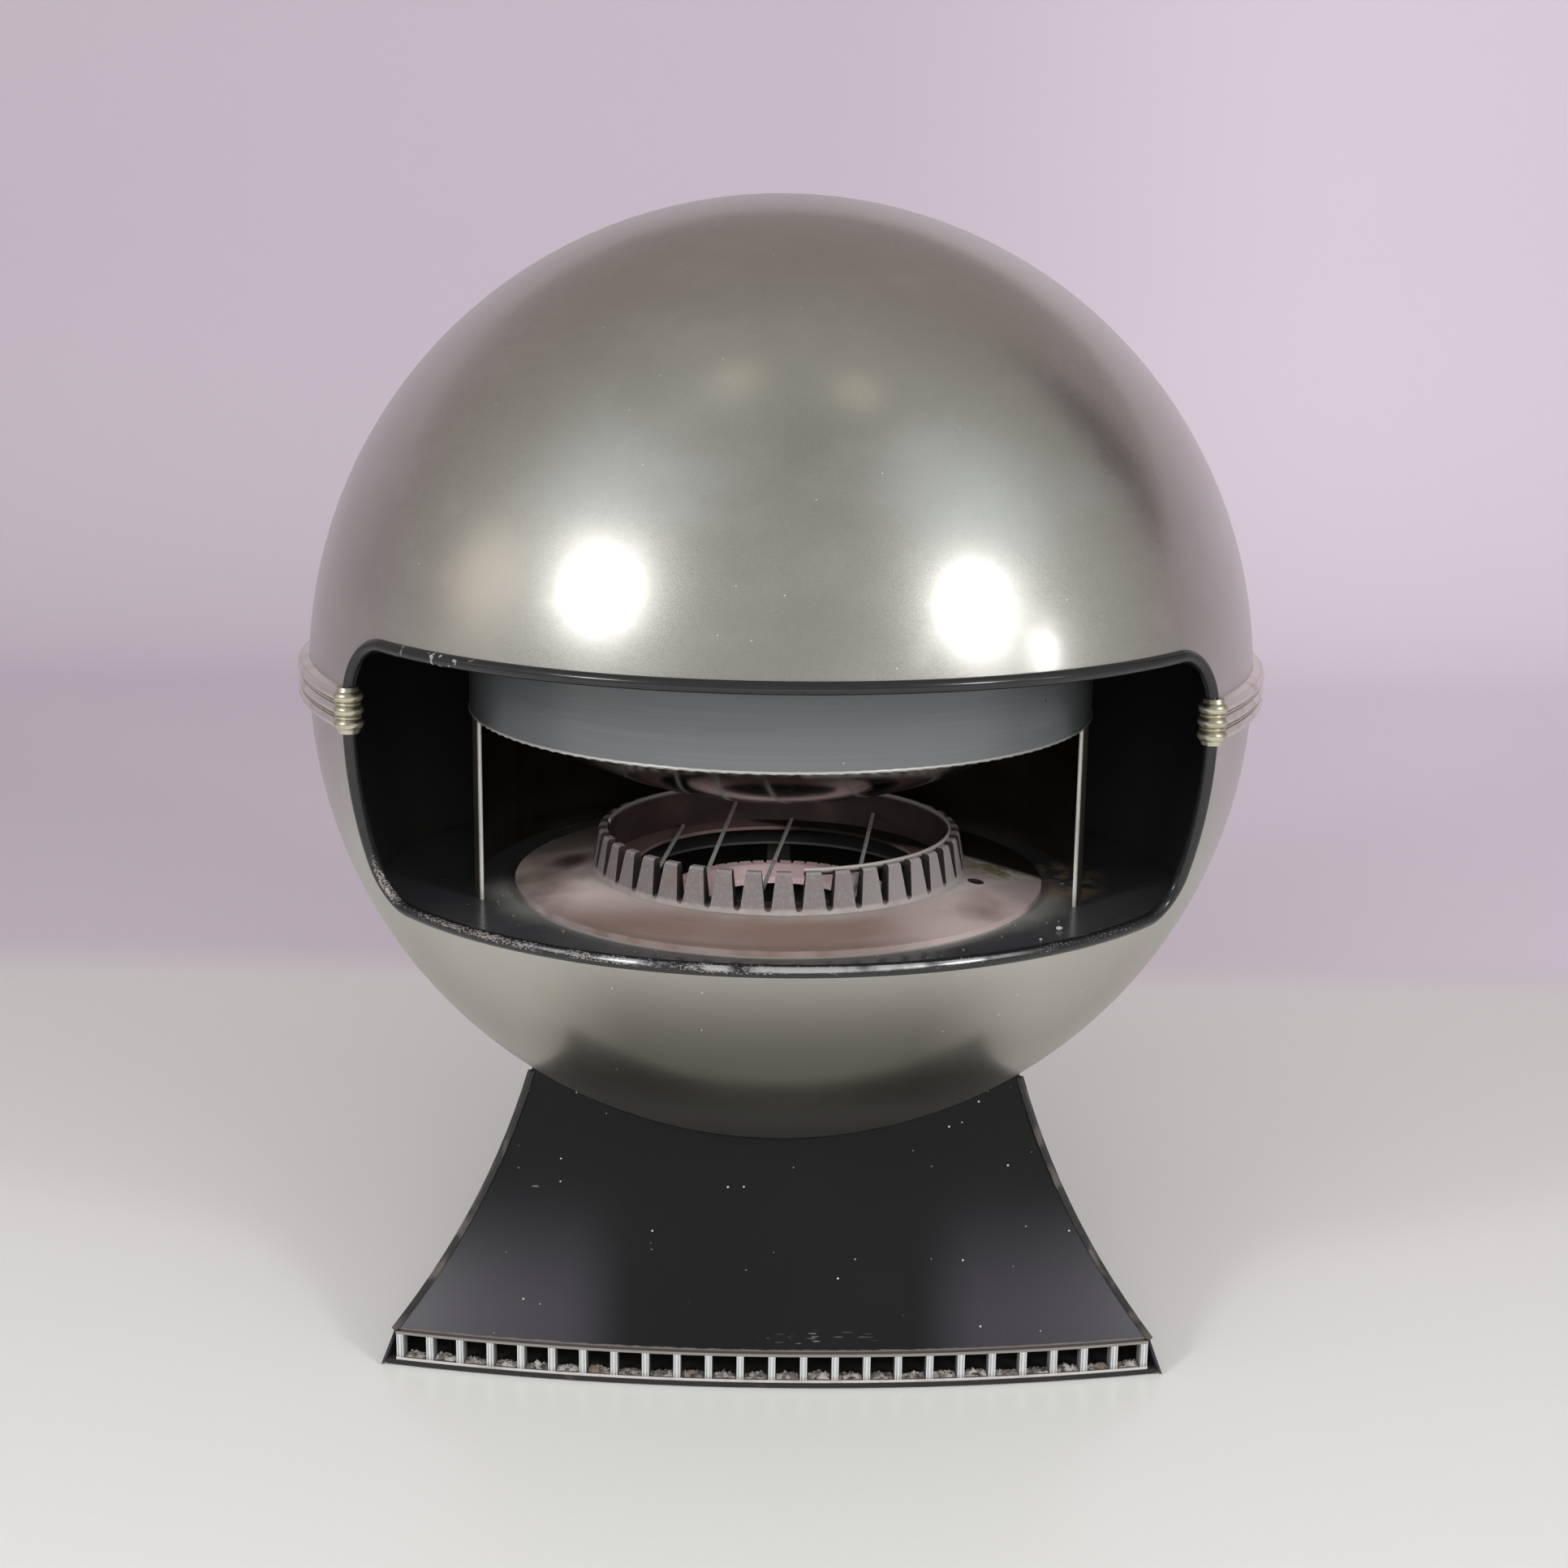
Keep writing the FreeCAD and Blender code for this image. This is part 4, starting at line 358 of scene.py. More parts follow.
def worn_bead():
    """Black edge strip, chipped at the top left, rubbed to bare metal along the bottom, with a painted
    highlight on the bottom's crest.
    """
    finish = Finish("worn_bead", (0.012, 0.0125, 0.014), roughness=0.20)
    finish.mottle(70, 0.5, 0.8, detail=4, Roughness=0.32)
    low = finish.ramp(finish.along("Z"), MOUTH_FOOT + 0.080, MOUTH_FOOT + 0.015)
    patches = finish.ramp(finish.noise(24, detail=4, shift=5), 0.36, 0.66)
    left = finish.ramp(finish.along("X"), 0.06, -0.10)
    right = finish.ramp(finish.away((0.225, -0.235, MOUTH_FOOT + 0.025)), 0.085, 0.035)
    corners = finish.both(finish.maths("MAXIMUM", left, right), 0.36)
    drive = finish.both(low, finish.maths("ADD", finish.both(patches, 0.64), corners))
    grit = finish.noise(1200, detail=6, stretch=(0.5, 0.5, 1))
    ridge = finish.facing((0, -0.86, 0.51))
    drive = finish.both(drive, finish.ramp(ridge, 0.45, 0.85))
    rubbed = finish.ramp(finish.maths("ADD", grit, finish.both(drive, 0.30)), 0.72, 0.86)
    finish.layer(rubbed, Base_Color=(0.28, 0.248, 0.24), Roughness=0.36, Metallic=0.4)
    # Bare metal along the middle of the bottom run, painted brighter on the crest as a highlight line.
    middle = finish.ramp(finish.absolute(finish.along("X")), 0.185, 0.12)
    streak = finish.ramp(finish.noise(60, detail=5, shift=1), 0.30, 0.62)
    bare_crest_and_painted_highlight = finish.both(finish.both(low, middle), finish.both(streak, finish.ramp(ridge, 0.86, 0.96)))
    finish.layer(bare_crest_and_painted_highlight, Base_Color=(0.52, 0.52, 0.53), Roughness=0.26, Metallic=0.7)
    corner = finish.ramp(finish.away((-0.212, -0.24, MOUTH_TOP - 0.006), (1, 0.5, 1)), 0.038, 0.012)
    chips = finish.both(corner, finish.ramp(finish.noise(210, detail=5, shift=2), 0.60, 0.64))
    finish.layer(chips, Base_Color=(0.30, 0.28, 0.27), Roughness=0.6)
    finish.bump(rubbed, -0.00004)
    return finish.material


# Finishes of the fire


def hearth_black():
    """Gloss black stove enamel with a dust film, more dust round the burner plate, rusty by the reflector.
    """
    finish = Finish("hearth_black", (0.062, 0.064, 0.070), roughness=0.16)
    film = finish.ramp(finish.noise(11, detail=7, shift=2), 0.36, 0.74)
    finish.layer(film, Base_Color=(0.100, 0.102, 0.107), Roughness=0.26)
    under = finish.ramp(finish.reach(), PLATE_RADIUS - 0.014, PLATE_RADIUS - 0.006)
    near = finish.both(under, finish.ramp(finish.reach(), PLATE_RADIUS + 0.048, PLATE_RADIUS - 0.004))
    sides = finish.ramp(finish.along("Y"), -0.19, -0.05)
    behind = finish.ramp(finish.along("Y"), 0.03, -0.05)
    edge = finish.ramp(finish.reach(), PLATE_RADIUS + 0.007, PLATE_RADIUS + 0.001)
    wide = finish.both(near, finish.both(sides, behind))
    narrow = finish.both(finish.both(edge, under), behind)
    ring = finish.maths("MAXIMUM", wide, narrow)
    cloud = finish.noise(26, detail=5)
    dust = finish.ramp(finish.maths("ADD", finish.both(ring, 0.75), finish.both(cloud, 0.40)), 0.26, 1.15)
    finish.layer(dust, Base_Color=(0.40, 0.40, 0.375), Roughness=0.9)
    feet = finish.ramp(finish.away(RUST_PLACE, (1, 0.5, 1)), 0.034, 0.014)
    rust = finish.both(feet, finish.ramp(finish.noise(90, detail=6, shift=8), 0.38, 0.60))
    finish.layer(rust, Base_Color=(0.30, 0.235, 0.155), Roughness=0.9)
    finish.layer(finish.specks(0.013, 0.0010, 0.30), Base_Color=(0.34, 0.33, 0.31), Roughness=0.9)
    return finish.material


def plate_enamel():
    """Brown-pink heat-worn enamel: rubbed rings, painted light on its sides, painted shade at the back, a
    painted shadow behind on the right, a painted dark patch left of the crown, an olive stain.
    """
    finish = Finish("plate_enamel", (0.280, 0.190, 0.157), roughness=0.62)
    rings = finish.noise(1.0, detail=4, stretch=(14, 14, 500))
    finish.layer(finish.ramp(rings, 0.40, 0.70), Base_Color=(0.315, 0.232, 0.200))
    cloud = finish.noise(20, detail=6)
    finish.layer(finish.ramp(cloud, 0.50, 0.78), Base_Color=(0.300, 0.225, 0.205), Roughness=0.75)
    rim = finish.ramp(finish.reach(), PLATE_RADIUS - 0.012, PLATE_RADIUS - 0.003)
    finish.layer(finish.both(rim, 0.6), Base_Color=(0.205, 0.148, 0.132))
    lip = finish.both(
        finish.ramp(finish.reach(), PLATE_RADIUS - 0.0020, PLATE_RADIUS - 0.0006),
        finish.ramp(finish.noise(50, detail=5, shift=9), 0.30, 0.60),
    )
    finish.layer(finish.both(lip, 0.5), Base_Color=(0.38, 0.31, 0.285), Roughness=0.9)
    # Painted light: paler, mottled patches on the plate's left, on its right slope and above a straight
    # line on the right.
    cloudy = finish.ramp(finish.noise(15, detail=6, shift=7), 0.20, 0.60)
    flank = finish.ramp(finish.along("X"), 0.02, -0.06)
    left = finish.both(finish.ramp(finish.along("Y"), -0.15, -0.05), flank)
    finish.layer(finish.both(left, cloudy), Base_Color=(0.86, 0.71, 0.69), Roughness=0.95)
    painted_light_right = finish.ramp(finish.along("X"), 0.05, 0.13)
    finish.layer(finish.both(painted_light_right, cloudy), Base_Color=(0.62, 0.50, 0.49), Roughness=0.9)
    slant = finish.maths("ADD", finish.along("Y"), finish.both(finish.along("X"), -0.90))
    right = finish.both(finish.ramp(slant, -0.190, -0.170), finish.ramp(finish.along("X"), 0.06, 0.11))
    finish.layer(finish.both(right, cloudy), Base_Color=(0.76, 0.70, 0.66), Roughness=0.95)
    # Painted shade: the back of the plate darker.
    back = finish.ramp(finish.along("Y"), 0.005, 0.050)
    finish.layer(finish.both(back, 0.8), Base_Color=(0.17, 0.158, 0.135), Roughness=0.95)
    inner = finish.ramp(finish.reach(), CROWN_RADIUS + 0.020, CROWN_RADIUS)
    inner = finish.both(inner, finish.noise(60, detail=5))
    finish.layer(inner, Base_Color=(0.46, 0.425, 0.40), Roughness=0.9)
    well = finish.ramp(finish.reach(), CROWN_RADIUS - 0.006, CROWN_RADIUS - 0.012)
    finish.layer(well, Base_Color=(0.25, 0.165, 0.155), Roughness=0.8)
    # Painted shade: a dark patch left of the crown.
    painted_shade_spot = finish.away(PAINTED_SHADE_PLACE, (1, 0.8, 1))
    finish.layer(finish.ramp(painted_shade_spot, 0.024, 0.004), Base_Color=(0.130, 0.100, 0.092), Roughness=0.5)
    stain = finish.both(
        finish.ramp(finish.away(STAIN_PLACE), 0.034, 0.006),
        finish.ramp(finish.noise(120, detail=6, shift=4), 0.36, 0.56),
    )
    finish.layer(stain, Base_Color=(0.30, 0.27, 0.13), Roughness=0.9)
    # Painted shadow: near black behind a straight line across the plate's back right.
    behind = finish.maths("ADD", finish.along("Y"), finish.both(finish.along("X"), 0.60))
    finish.layer(finish.ramp(behind, 0.100, 0.114), Base_Color=(0.020, 0.017, 0.014), Roughness=0.9)
    hole = finish.ramp(finish.away(PEEP_HOLE, (1, 1, 0)), PEEP_RADIUS + 0.0014, PEEP_RADIUS + 0.0008)
    finish.layer(hole, Base_Color=(0.040, 0.024, 0.020), Roughness=0.9)
    finish.bump(finish.noise(600, detail=4), 0.00010)
    return finish.material


def crown_iron():
    """Grey casting with dust: paler on the teeth's tops, painted shade on the slot walls between them,
    painted light towards its right side, dust at the slots' feet.
    """
    finish = Finish("crown_iron", (0.195, 0.172, 0.170), roughness=0.82)
    sand = finish.noise(420, detail=5)
    finish.layer(finish.ramp(sand, 0.42, 0.70), Base_Color=(0.240, 0.213, 0.210))
    rust = finish.ramp(finish.noise(34, detail=5, shift=6), 0.56, 0.75)
    finish.layer(rust, Base_Color=(0.205, 0.155, 0.142))
    # Painted light: the casting paler towards its right side.
    painted_light_and_shade = finish.ramp(finish.along("X"), 0.03, 0.12)
    finish.layer(painted_light_and_shade, Base_Color=(0.33, 0.30, 0.295))
    tops = finish.both(finish.ramp(finish.facing(UP), 0.25, 0.9), finish.noise(70, detail=5))
    finish.layer(tops, Base_Color=(0.36, 0.33, 0.32), Roughness=0.95)
    # Painted shade on the slot walls between the teeth.
    painted_slot_shade = finish.ramp(finish.sideways(), 0.55, 0.85)
    finish.layer(painted_slot_shade, Base_Color=(0.030, 0.026, 0.025), Roughness=0.9)
    foot = finish.ramp(finish.along("Z"), PLATE_TOP + 0.0050, PLATE_TOP + 0.0022)
    dust = finish.both(foot, finish.noise(80, detail=5))
    finish.layer(dust, Base_Color=(0.46, 0.43, 0.41), Roughness=0.95)
    finish.bump(sand, 0.0003)
    return finish.material


def liner_sheet():
    """Red-brown guard sheet inside the crown, painted shade near black on its outer face, dust along its
    top edge.
    """
    finish = Finish("liner_sheet", (0.046, 0.032, 0.031), roughness=0.55)
    finish.mottle(22, 0.45, 0.75, detail=6, Base_Color=(0.082, 0.060, 0.057))
    # Painted shade: the sheet's outer face near black behind the teeth.
    outside = finish.ramp(finish.reach(), LINER_RADIUS - 0.0007, LINER_RADIUS - 0.0003)
    finish.layer(outside, Base_Color=(0.012, 0.011, 0.011), Roughness=0.8)
    edge = finish.ramp(finish.along("Z"), CROWN_TOP - 0.0025, CROWN_TOP + 0.001)
    finish.layer(edge, Base_Color=(0.44, 0.41, 0.39), Roughness=0.8)
    finish.bump(finish.noise(300, detail=4), 0.00012)
    return finish.material


def burner_iron():
    """Pinkish oxidised casting with sooty blotches, black on its outer side."""
    finish = Finish("burner_iron", (0.90, 0.64, 0.65), roughness=0.78)
    finish.mottle(46, 0.48, 0.75, detail=6, Base_Color=(0.94, 0.76, 0.76))
    finish.mottle(19, 0.60, 0.85, shift=3, Base_Color=(0.30, 0.22, 0.215))
    side = finish.ramp(finish.reach(), BURNER_RADIUS - 0.0012, BURNER_RADIUS - 0.0004)
    soot_and_painted_shade = finish.ramp(finish.noise(24, detail=3, shift=7), 0.62, 0.54)
    finish.layer(finish.both(side, soot_and_painted_shade), Base_Color=(0.022, 0.018, 0.018), Roughness=0.9)
    finish.bump(finish.noise(500, detail=4), 0.0002)
    return finish.material


def hood_lacquer():
    """Satin blue-grey stove lacquer with fine lines round the skirt, painted shade on its upper part and a
    pale lower edge.
    """
    finish = Finish("hood_lacquer", (0.140, 0.147, 0.154), roughness=0.36, metallic=0.15)
    rings = finish.noise(1.0, detail=3, stretch=(7, 7, 420))
    finish.layer(finish.ramp(rings, 0.42, 0.75), Base_Color=(0.157, 0.165, 0.173), Roughness=0.42)
    # Painted shade: the hood darker towards its top, under the ball's upper shell.
    soot_and_painted_shade = finish.ramp(finish.along("Z"), HOOD_RIM + 0.045, HOOD_RIM + 0.125)
    finish.layer(finish.both(soot_and_painted_shade, 0.75), Base_Color=(0.075, 0.076, 0.076), Roughness=0.5)
    edge = finish.ramp(finish.along("Z"), HOOD_RIM + 0.0030, HOOD_RIM + 0.0012)
    finish.layer(edge, Base_Color=(0.62, 0.61, 0.58), Roughness=0.38, Metallic=0.4)
    finish.layer(finish.specks(0.010, 0.0007, 0.12), Base_Color=(0.42, 0.42, 0.40), Roughness=0.8)
    marks = finish.specks(0.022, 0.0011, 0.16)
    finish.layer(marks, Base_Color=(0.02, 0.02, 0.02), Roughness=0.7)
    return finish.material


def browned_mirror():
    """Polished sheet browned by heat: faint upright streaks, browner patches, a duller front, dust at its
    feet.
    """
    finish = Finish("browned_mirror", (0.30, 0.27, 0.215), roughness=0.20, metallic=0.95)
    streaks = finish.noise(1.0, detail=4, stretch=(60, 60, 4))
    finish.layer(finish.ramp(streaks, 0.45, 0.75), Base_Color=(0.36, 0.31, 0.235), Roughness=0.26)
    heat = finish.ramp(finish.noise(7, detail=4, shift=8), 0.42, 0.72)
    finish.layer(finish.both(heat, 0.7), Base_Color=(0.20, 0.155, 0.10))
    front = finish.ramp(finish.along("Y"), 0.02, -0.04)
    finish.layer(finish.both(front, 0.75), Base_Color=(0.30, 0.26, 0.185), Roughness=0.5, Metallic=0.2)
    foot = finish.ramp(finish.along("Z"), HEARTH_TOP + 0.042, HEARTH_TOP)
    dust = finish.both(finish.both(foot, front), finish.ramp(finish.noise(38, detail=6), 0.34, 0.62))
    finish.layer(dust, Base_Color=(0.20, 0.175, 0.135), Roughness=0.85, Metallic=0.0)
    return finish.material


def hem_painted_highlight():
    """Rolled front edges of the reflector, pale as a painted highlight, dull towards the floor."""
    finish = Finish("hem_painted_highlight", (0.93, 0.91, 0.86), roughness=0.36, metallic=0.25)
    finish.mottle(90, 0.52, 0.78, Base_Color=(0.74, 0.71, 0.65))
    foot = finish.ramp(finish.along("Z"), HEARTH_TOP + 0.014, HEARTH_TOP)
    dull = finish.both(foot, finish.noise(60, detail=5))
    finish.layer(dull, Base_Color=(0.20, 0.17, 0.14), Roughness=0.8)
    return finish.material


def bowl_polish():
    """Dark polished bowl with a brown heat tint in patches and a bright rolled edge."""
    finish = Finish("bowl_polish", (0.37, 0.365, 0.34), roughness=0.13, metallic=1.0)
    heat_bloom_and_painted_sheen = finish.ramp(finish.noise(9, detail=5), 0.42, 0.72)
    finish.layer(heat_bloom_and_painted_sheen, Base_Color=(0.36, 0.32, 0.295), Roughness=0.20)
    finish.mottle(60, 0.58, 0.8, shift=2, Roughness=0.30)
    return finish.material


def bright_wire():
    """Thin drawn wire, greyed and spotted with rust."""
    finish = Finish("bright_wire", (0.66, 0.645, 0.62), roughness=0.45, metallic=0.35)
    rust = finish.ramp(finish.noise(160, detail=5), 0.52, 0.70)
    finish.layer(rust, Base_Color=(0.38, 0.32, 0.28), Roughness=0.8, Metallic=0.2)
    return finish.material


# Finishes of the base


def base_lacquer(name, foot):
    """Satin black lacquer: a painted purplish sheen in the lower corners, dust specks, hair scratches, a
    rubbed foot.
    """
    finish = Finish(name, (0.0042, 0.0044, 0.0054), roughness=0.22, Specular_IOR_Level=0.36)
    haze = finish.ramp(finish.noise(6, detail=6), 0.38, 0.78)
    finish.layer(haze, Roughness=0.29, Base_Color=(0.0055, 0.0056, 0.0066))
    # Painted purplish sheen in the lower corners.
    beside = finish.ramp(finish.absolute(finish.along("X")), 0.095, 0.150)
    heat_bloom_and_painted_sheen = finish.both(beside, finish.ramp(finish.along("Z"), 0.135, 0.035))
    finish.mottle(650, 0.35, 0.65, detail=3, Base_Color=(0.0058, 0.0060, 0.0072))
    finish.bump(finish.noise(500, detail=2), 0.000006)
    finish.layer(heat_bloom_and_painted_sheen, Base_Color=(0.030, 0.027, 0.035), Roughness=0.34)
    finish.layer(finish.specks(0.0110, 0.0009, 0.26), Base_Color=(0.52, 0.52, 0.50), Roughness=0.9)
    finish.layer(finish.specks(0.0065, 0.0006, 0.10), Base_Color=(0.22, 0.22, 0.21), Roughness=0.9)
    hairs = finish.specks(0.022, 0.0009, 0.10, stretch=(0.25, 1, 1))
    finish.layer(hairs, Base_Color=(0.10, 0.10, 0.10), Roughness=0.6)
    ragged = finish.maths("ADD", finish.along("Z"), finish.both(finish.noise(160, detail=5), -0.0016))
    edge = finish.ramp(ragged, foot + 0.0006, foot - 0.0004)
    finish.layer(edge, Base_Color=(0.135, 0.115, 0.108), Roughness=0.7)
    rubbed_spot = finish.away((0.028, SLAT_FRONT, PANEL_FOOT + 0.008), (0.10, 0.03, 1))
    scuffs = finish.ramp(finish.noise(1.0, detail=6, stretch=(90, 90, 1200)), 0.62, 0.69)
    scuffed = finish.both(finish.ramp(rubbed_spot, 0.0055, 0.002), scuffs)
    finish.layer(scuffed, Base_Color=(0.19, 0.185, 0.18), Roughness=0.8)
    return finish.material


def strip_lacquer():
    """Black corner strips rubbed to grey-brown metal along their edges."""
    finish = Finish("strip_lacquer", (0.020, 0.0195, 0.0195), roughness=0.40)
    rubbed = finish.ramp(finish.noise(70, detail=6, stretch=(1, 1, 0.5)), 0.50, 0.66)
    finish.layer(finish.both(rubbed, 0.7), Base_Color=(0.145, 0.128, 0.115), Roughness=0.6)
    low = finish.ramp(finish.along("Z"), PANEL_FOOT + 0.012, PANEL_FOOT)
    finish.layer(low, Base_Color=(0.10, 0.088, 0.080), Roughness=0.65)
    return finish.material


def tray_black():
    """Dull black tray, felted with grey dust on top."""
    finish = Finish("tray_black", (0.014, 0.013, 0.013), roughness=0.6)
    top = finish.both(finish.ramp(finish.facing(UP), 0.4, 0.9), finish.noise(40, detail=6))
    finish.layer(top, Base_Color=(0.030, 0.027, 0.025), Roughness=0.98)
    finish.mottle(60, 0.60, 0.75, shift=3, Base_Color=(0.06, 0.04, 0.038))
    return finish.material


def ribbed_aluminium():
    """Bright extruded slats with upright draw lines, and painted shade on their inner faces."""
    finish = Finish("ribbed_aluminium", (0.64, 0.65, 0.66), roughness=0.38, metallic=0.35)
    lines = finish.noise(1.0, detail=2, stretch=(2200, 2200, 12))
    finish.bump(lines, 0.00012)
    finish.layer(finish.ramp(lines, 0.45, 0.75), Base_Color=(0.50, 0.51, 0.52))
    # Painted shade: the slats darker on their sides and backs, towards the inside of the base.
    inward = finish.away((0, SLAT_FRONT + GRILLE_BOW, 0), (1, 1, 0))
    inside = finish.ramp(inward, GRILLE_BOW - 0.001, GRILLE_BOW - 0.004)
    finish.layer(finish.both(inside, 0.8), Base_Color=(0.16, 0.155, 0.15), Roughness=0.55)
    grime = finish.ramp(finish.along("Z"), TRAY_TOP + 0.006, TRAY_TOP + 0.002)
    grime = finish.both(grime, finish.noise(160, detail=5))
    finish.layer(grime, Base_Color=(0.30, 0.27, 0.245), Roughness=0.7)
    return finish.material


def rail_aluminium():
    """Thin rails of the grille: the lower one grey, the upper one darker under the panel's edge, painted
    shade on their upward faces.
    """
    finish = Finish("rail_aluminium", (0.58, 0.55, 0.54), roughness=0.42, metallic=0.3)
    stain = finish.ramp(finish.noise(55, detail=6), 0.48, 0.70)
    finish.layer(stain, Base_Color=(0.40, 0.365, 0.35), Roughness=0.6, Metallic=0.2)
    upper = finish.ramp(finish.along("Z"), TRAY_TOP + 0.008, TRAY_TOP + 0.012)
    finish.layer(upper, Base_Color=(0.24, 0.215, 0.200), Roughness=0.5, Metallic=0.2)
    # Painted shade: the rails' upward faces darkened under the panel and the slats.
    painted_light_and_shade = finish.ramp(finish.facing(UP), 0.4, 0.9)
    finish.layer(painted_light_and_shade, Base_Color=(0.085, 0.075, 0.068), Roughness=0.95, Metallic=0.0)
    return finish.material


def dust_felt():
    """Grey fluff with brown and dark tangles."""
    finish = Finish("dust_felt", (0.36, 0.34, 0.315), roughness=1.0, Sheen_Weight=0.3)
    finish.mottle(150, 0.42, 0.58, detail=6, Base_Color=(0.12, 0.105, 0.093))
    finish.mottle(36, 0.55, 0.70, shift=2, Base_Color=(0.17, 0.115, 0.085))
    strands = finish.noise(420, detail=4, stretch=(0.5, 1, 1), shift=4)
    finish.layer(finish.ramp(strands, 0.52, 0.62), Base_Color=(0.030, 0.026, 0.024))
    finish.bump(finish.noise(900, detail=5), 0.0008)
    return finish.material


# Finishes of the gas parts


def plain_steel():
    """Zinc-plated sheet with a faint spangle."""
    finish = Finish("plain_steel", (0.50, 0.50, 0.50), roughness=0.40, metallic=0.9)
    finish.mottle(60, 0.45, 0.75, Base_Color=(0.38, 0.375, 0.36), Roughness=0.52)
    rust = finish.ramp(finish.noise(24, detail=6, shift=4), 0.62, 0.76)
    finish.layer(rust, Base_Color=(0.20, 0.13, 0.095), Metallic=0.1, Roughness=0.85)
    return finish.material


def flue_black():
    """Matt black flue lacquer, grey with heat and dust on top."""
    finish = Finish("flue_black", (0.022, 0.0215, 0.021), roughness=0.55)
    finish.mottle(28, 0.48, 0.78, detail=6, Base_Color=(0.045, 0.043, 0.040), Roughness=0.72)
    finish.layer(finish.both(finish.ramp(finish.facing(UP), 0.3, 1), 0.4), Base_Color=(0.075, 0.071, 0.066))
    finish.bump(finish.noise(420, detail=4), 0.00012)
    return finish.material


def gas_brass():
    """Machined brass with brown stains."""
    finish = Finish("gas_brass", (0.70, 0.55, 0.27), roughness=0.28, metallic=1.0)
    finish.mottle(120, 0.48, 0.75, Base_Color=(0.42, 0.31, 0.15), Roughness=0.45)
    return finish.material


def gas_copper():
    """Drawn copper, browned in patches."""
    finish = Finish("gas_copper", (0.70, 0.40, 0.27), roughness=0.30, metallic=1.0)
    finish.mottle(50, 0.44, 0.72, Base_Color=(0.33, 0.185, 0.125), Roughness=0.48)
    return finish.material


def valve_casting():
    """Grey die-casting with a fine skin."""
    finish = Finish("valve_casting", (0.46, 0.46, 0.465), roughness=0.48, metallic=0.9)
    finish.mottle(90, 0.48, 0.75, Base_Color=(0.34, 0.34, 0.34), Roughness=0.6)
    finish.bump(finish.noise(900, detail=3), 0.00006)
    return finish.material


def control_aluminium():
    """Satin anodised plate, brushed lengthwise, fingered in patches."""
    finish = Finish("control_aluminium", (0.62, 0.615, 0.60), roughness=0.34, metallic=0.9)
    brush = finish.noise(1.0, detail=2, stretch=(40, 40, 2600))
    finish.layer(finish.ramp(brush, 0.42, 0.72), Base_Color=(0.54, 0.535, 0.52), Roughness=0.42)
    finish.bump(brush, 0.00001)
    finish.mottle(30, 0.55, 0.80, detail=6, Base_Color=(0.44, 0.43, 0.41), Roughness=0.5)
    return finish.material


def moulded_plastic(name, colour, worn, roughness):
    """Grained moulding, worn to another tone in patches."""
    finish = Finish(name, colour, roughness=roughness)
    finish.mottle(110, 0.50, 0.80, Base_Color=worn, Roughness=roughness + 0.12)
    finish.bump(finish.noise(1800, detail=2), 0.00003)
    return finish.material


def glazed_ceramic():
    """Off-white ceramic, scorched brown in patches."""
    finish = Finish("glazed_ceramic", (0.80, 0.77, 0.70), roughness=0.45)
    finish.mottle(150, 0.50, 0.75, Base_Color=(0.52, 0.44, 0.36))
    return finish.material


def foot_rubber():
    """Dull black pads with dust."""
    finish = Finish("foot_rubber", (0.022, 0.022, 0.022), roughness=0.85)
    finish.mottle(160, 0.48, 0.75, Base_Color=(0.055, 0.052, 0.049))
    return finish.material


def screw_steel():
    """Plated screw heads, duller in patches."""
    finish = Finish("screw_steel", (0.56, 0.555, 0.54), roughness=0.34, metallic=1.0)
    finish.mottle(500, 0.48, 0.74, detail=4, Base_Color=(0.34, 0.32, 0.29), Roughness=0.52)
    return finish.material


def dry_flake(name, colour):
    """Chalky or rusty crumbs, darker in places."""
    finish = Finish(name, colour, roughness=0.95)
    shade = tuple(0.6 * part for part in colour)
    finish.mottle(700, 0.45, 0.70, detail=4, Base_Color=shade)
    return finish.material


def white_paint():
    """Filled line of the knob, slightly worn."""
    finish = Finish("white_paint", (0.80, 0.79, 0.75), roughness=0.5)
    finish.mottle(400, 0.55, 0.75, detail=4, Base_Color=(0.52, 0.51, 0.48))
    return finish.material


# Dressing the CAD nodes


def dress(finish, *names):
    """Gives nodes one finish."""
    for name in names:
        materials = NODES[name].data.materials
        materials.clear()
        materials.append(finish)


def dress_faces(finish, name, chosen):
    """Gives a second finish to those faces of a node whose middle is chosen."""
    mesh = NODES[name].data
    mesh.materials.append(finish)
    for face in mesh.polygons:
        if chosen(face.center):
            face.material_index = len(mesh.materials) - 1


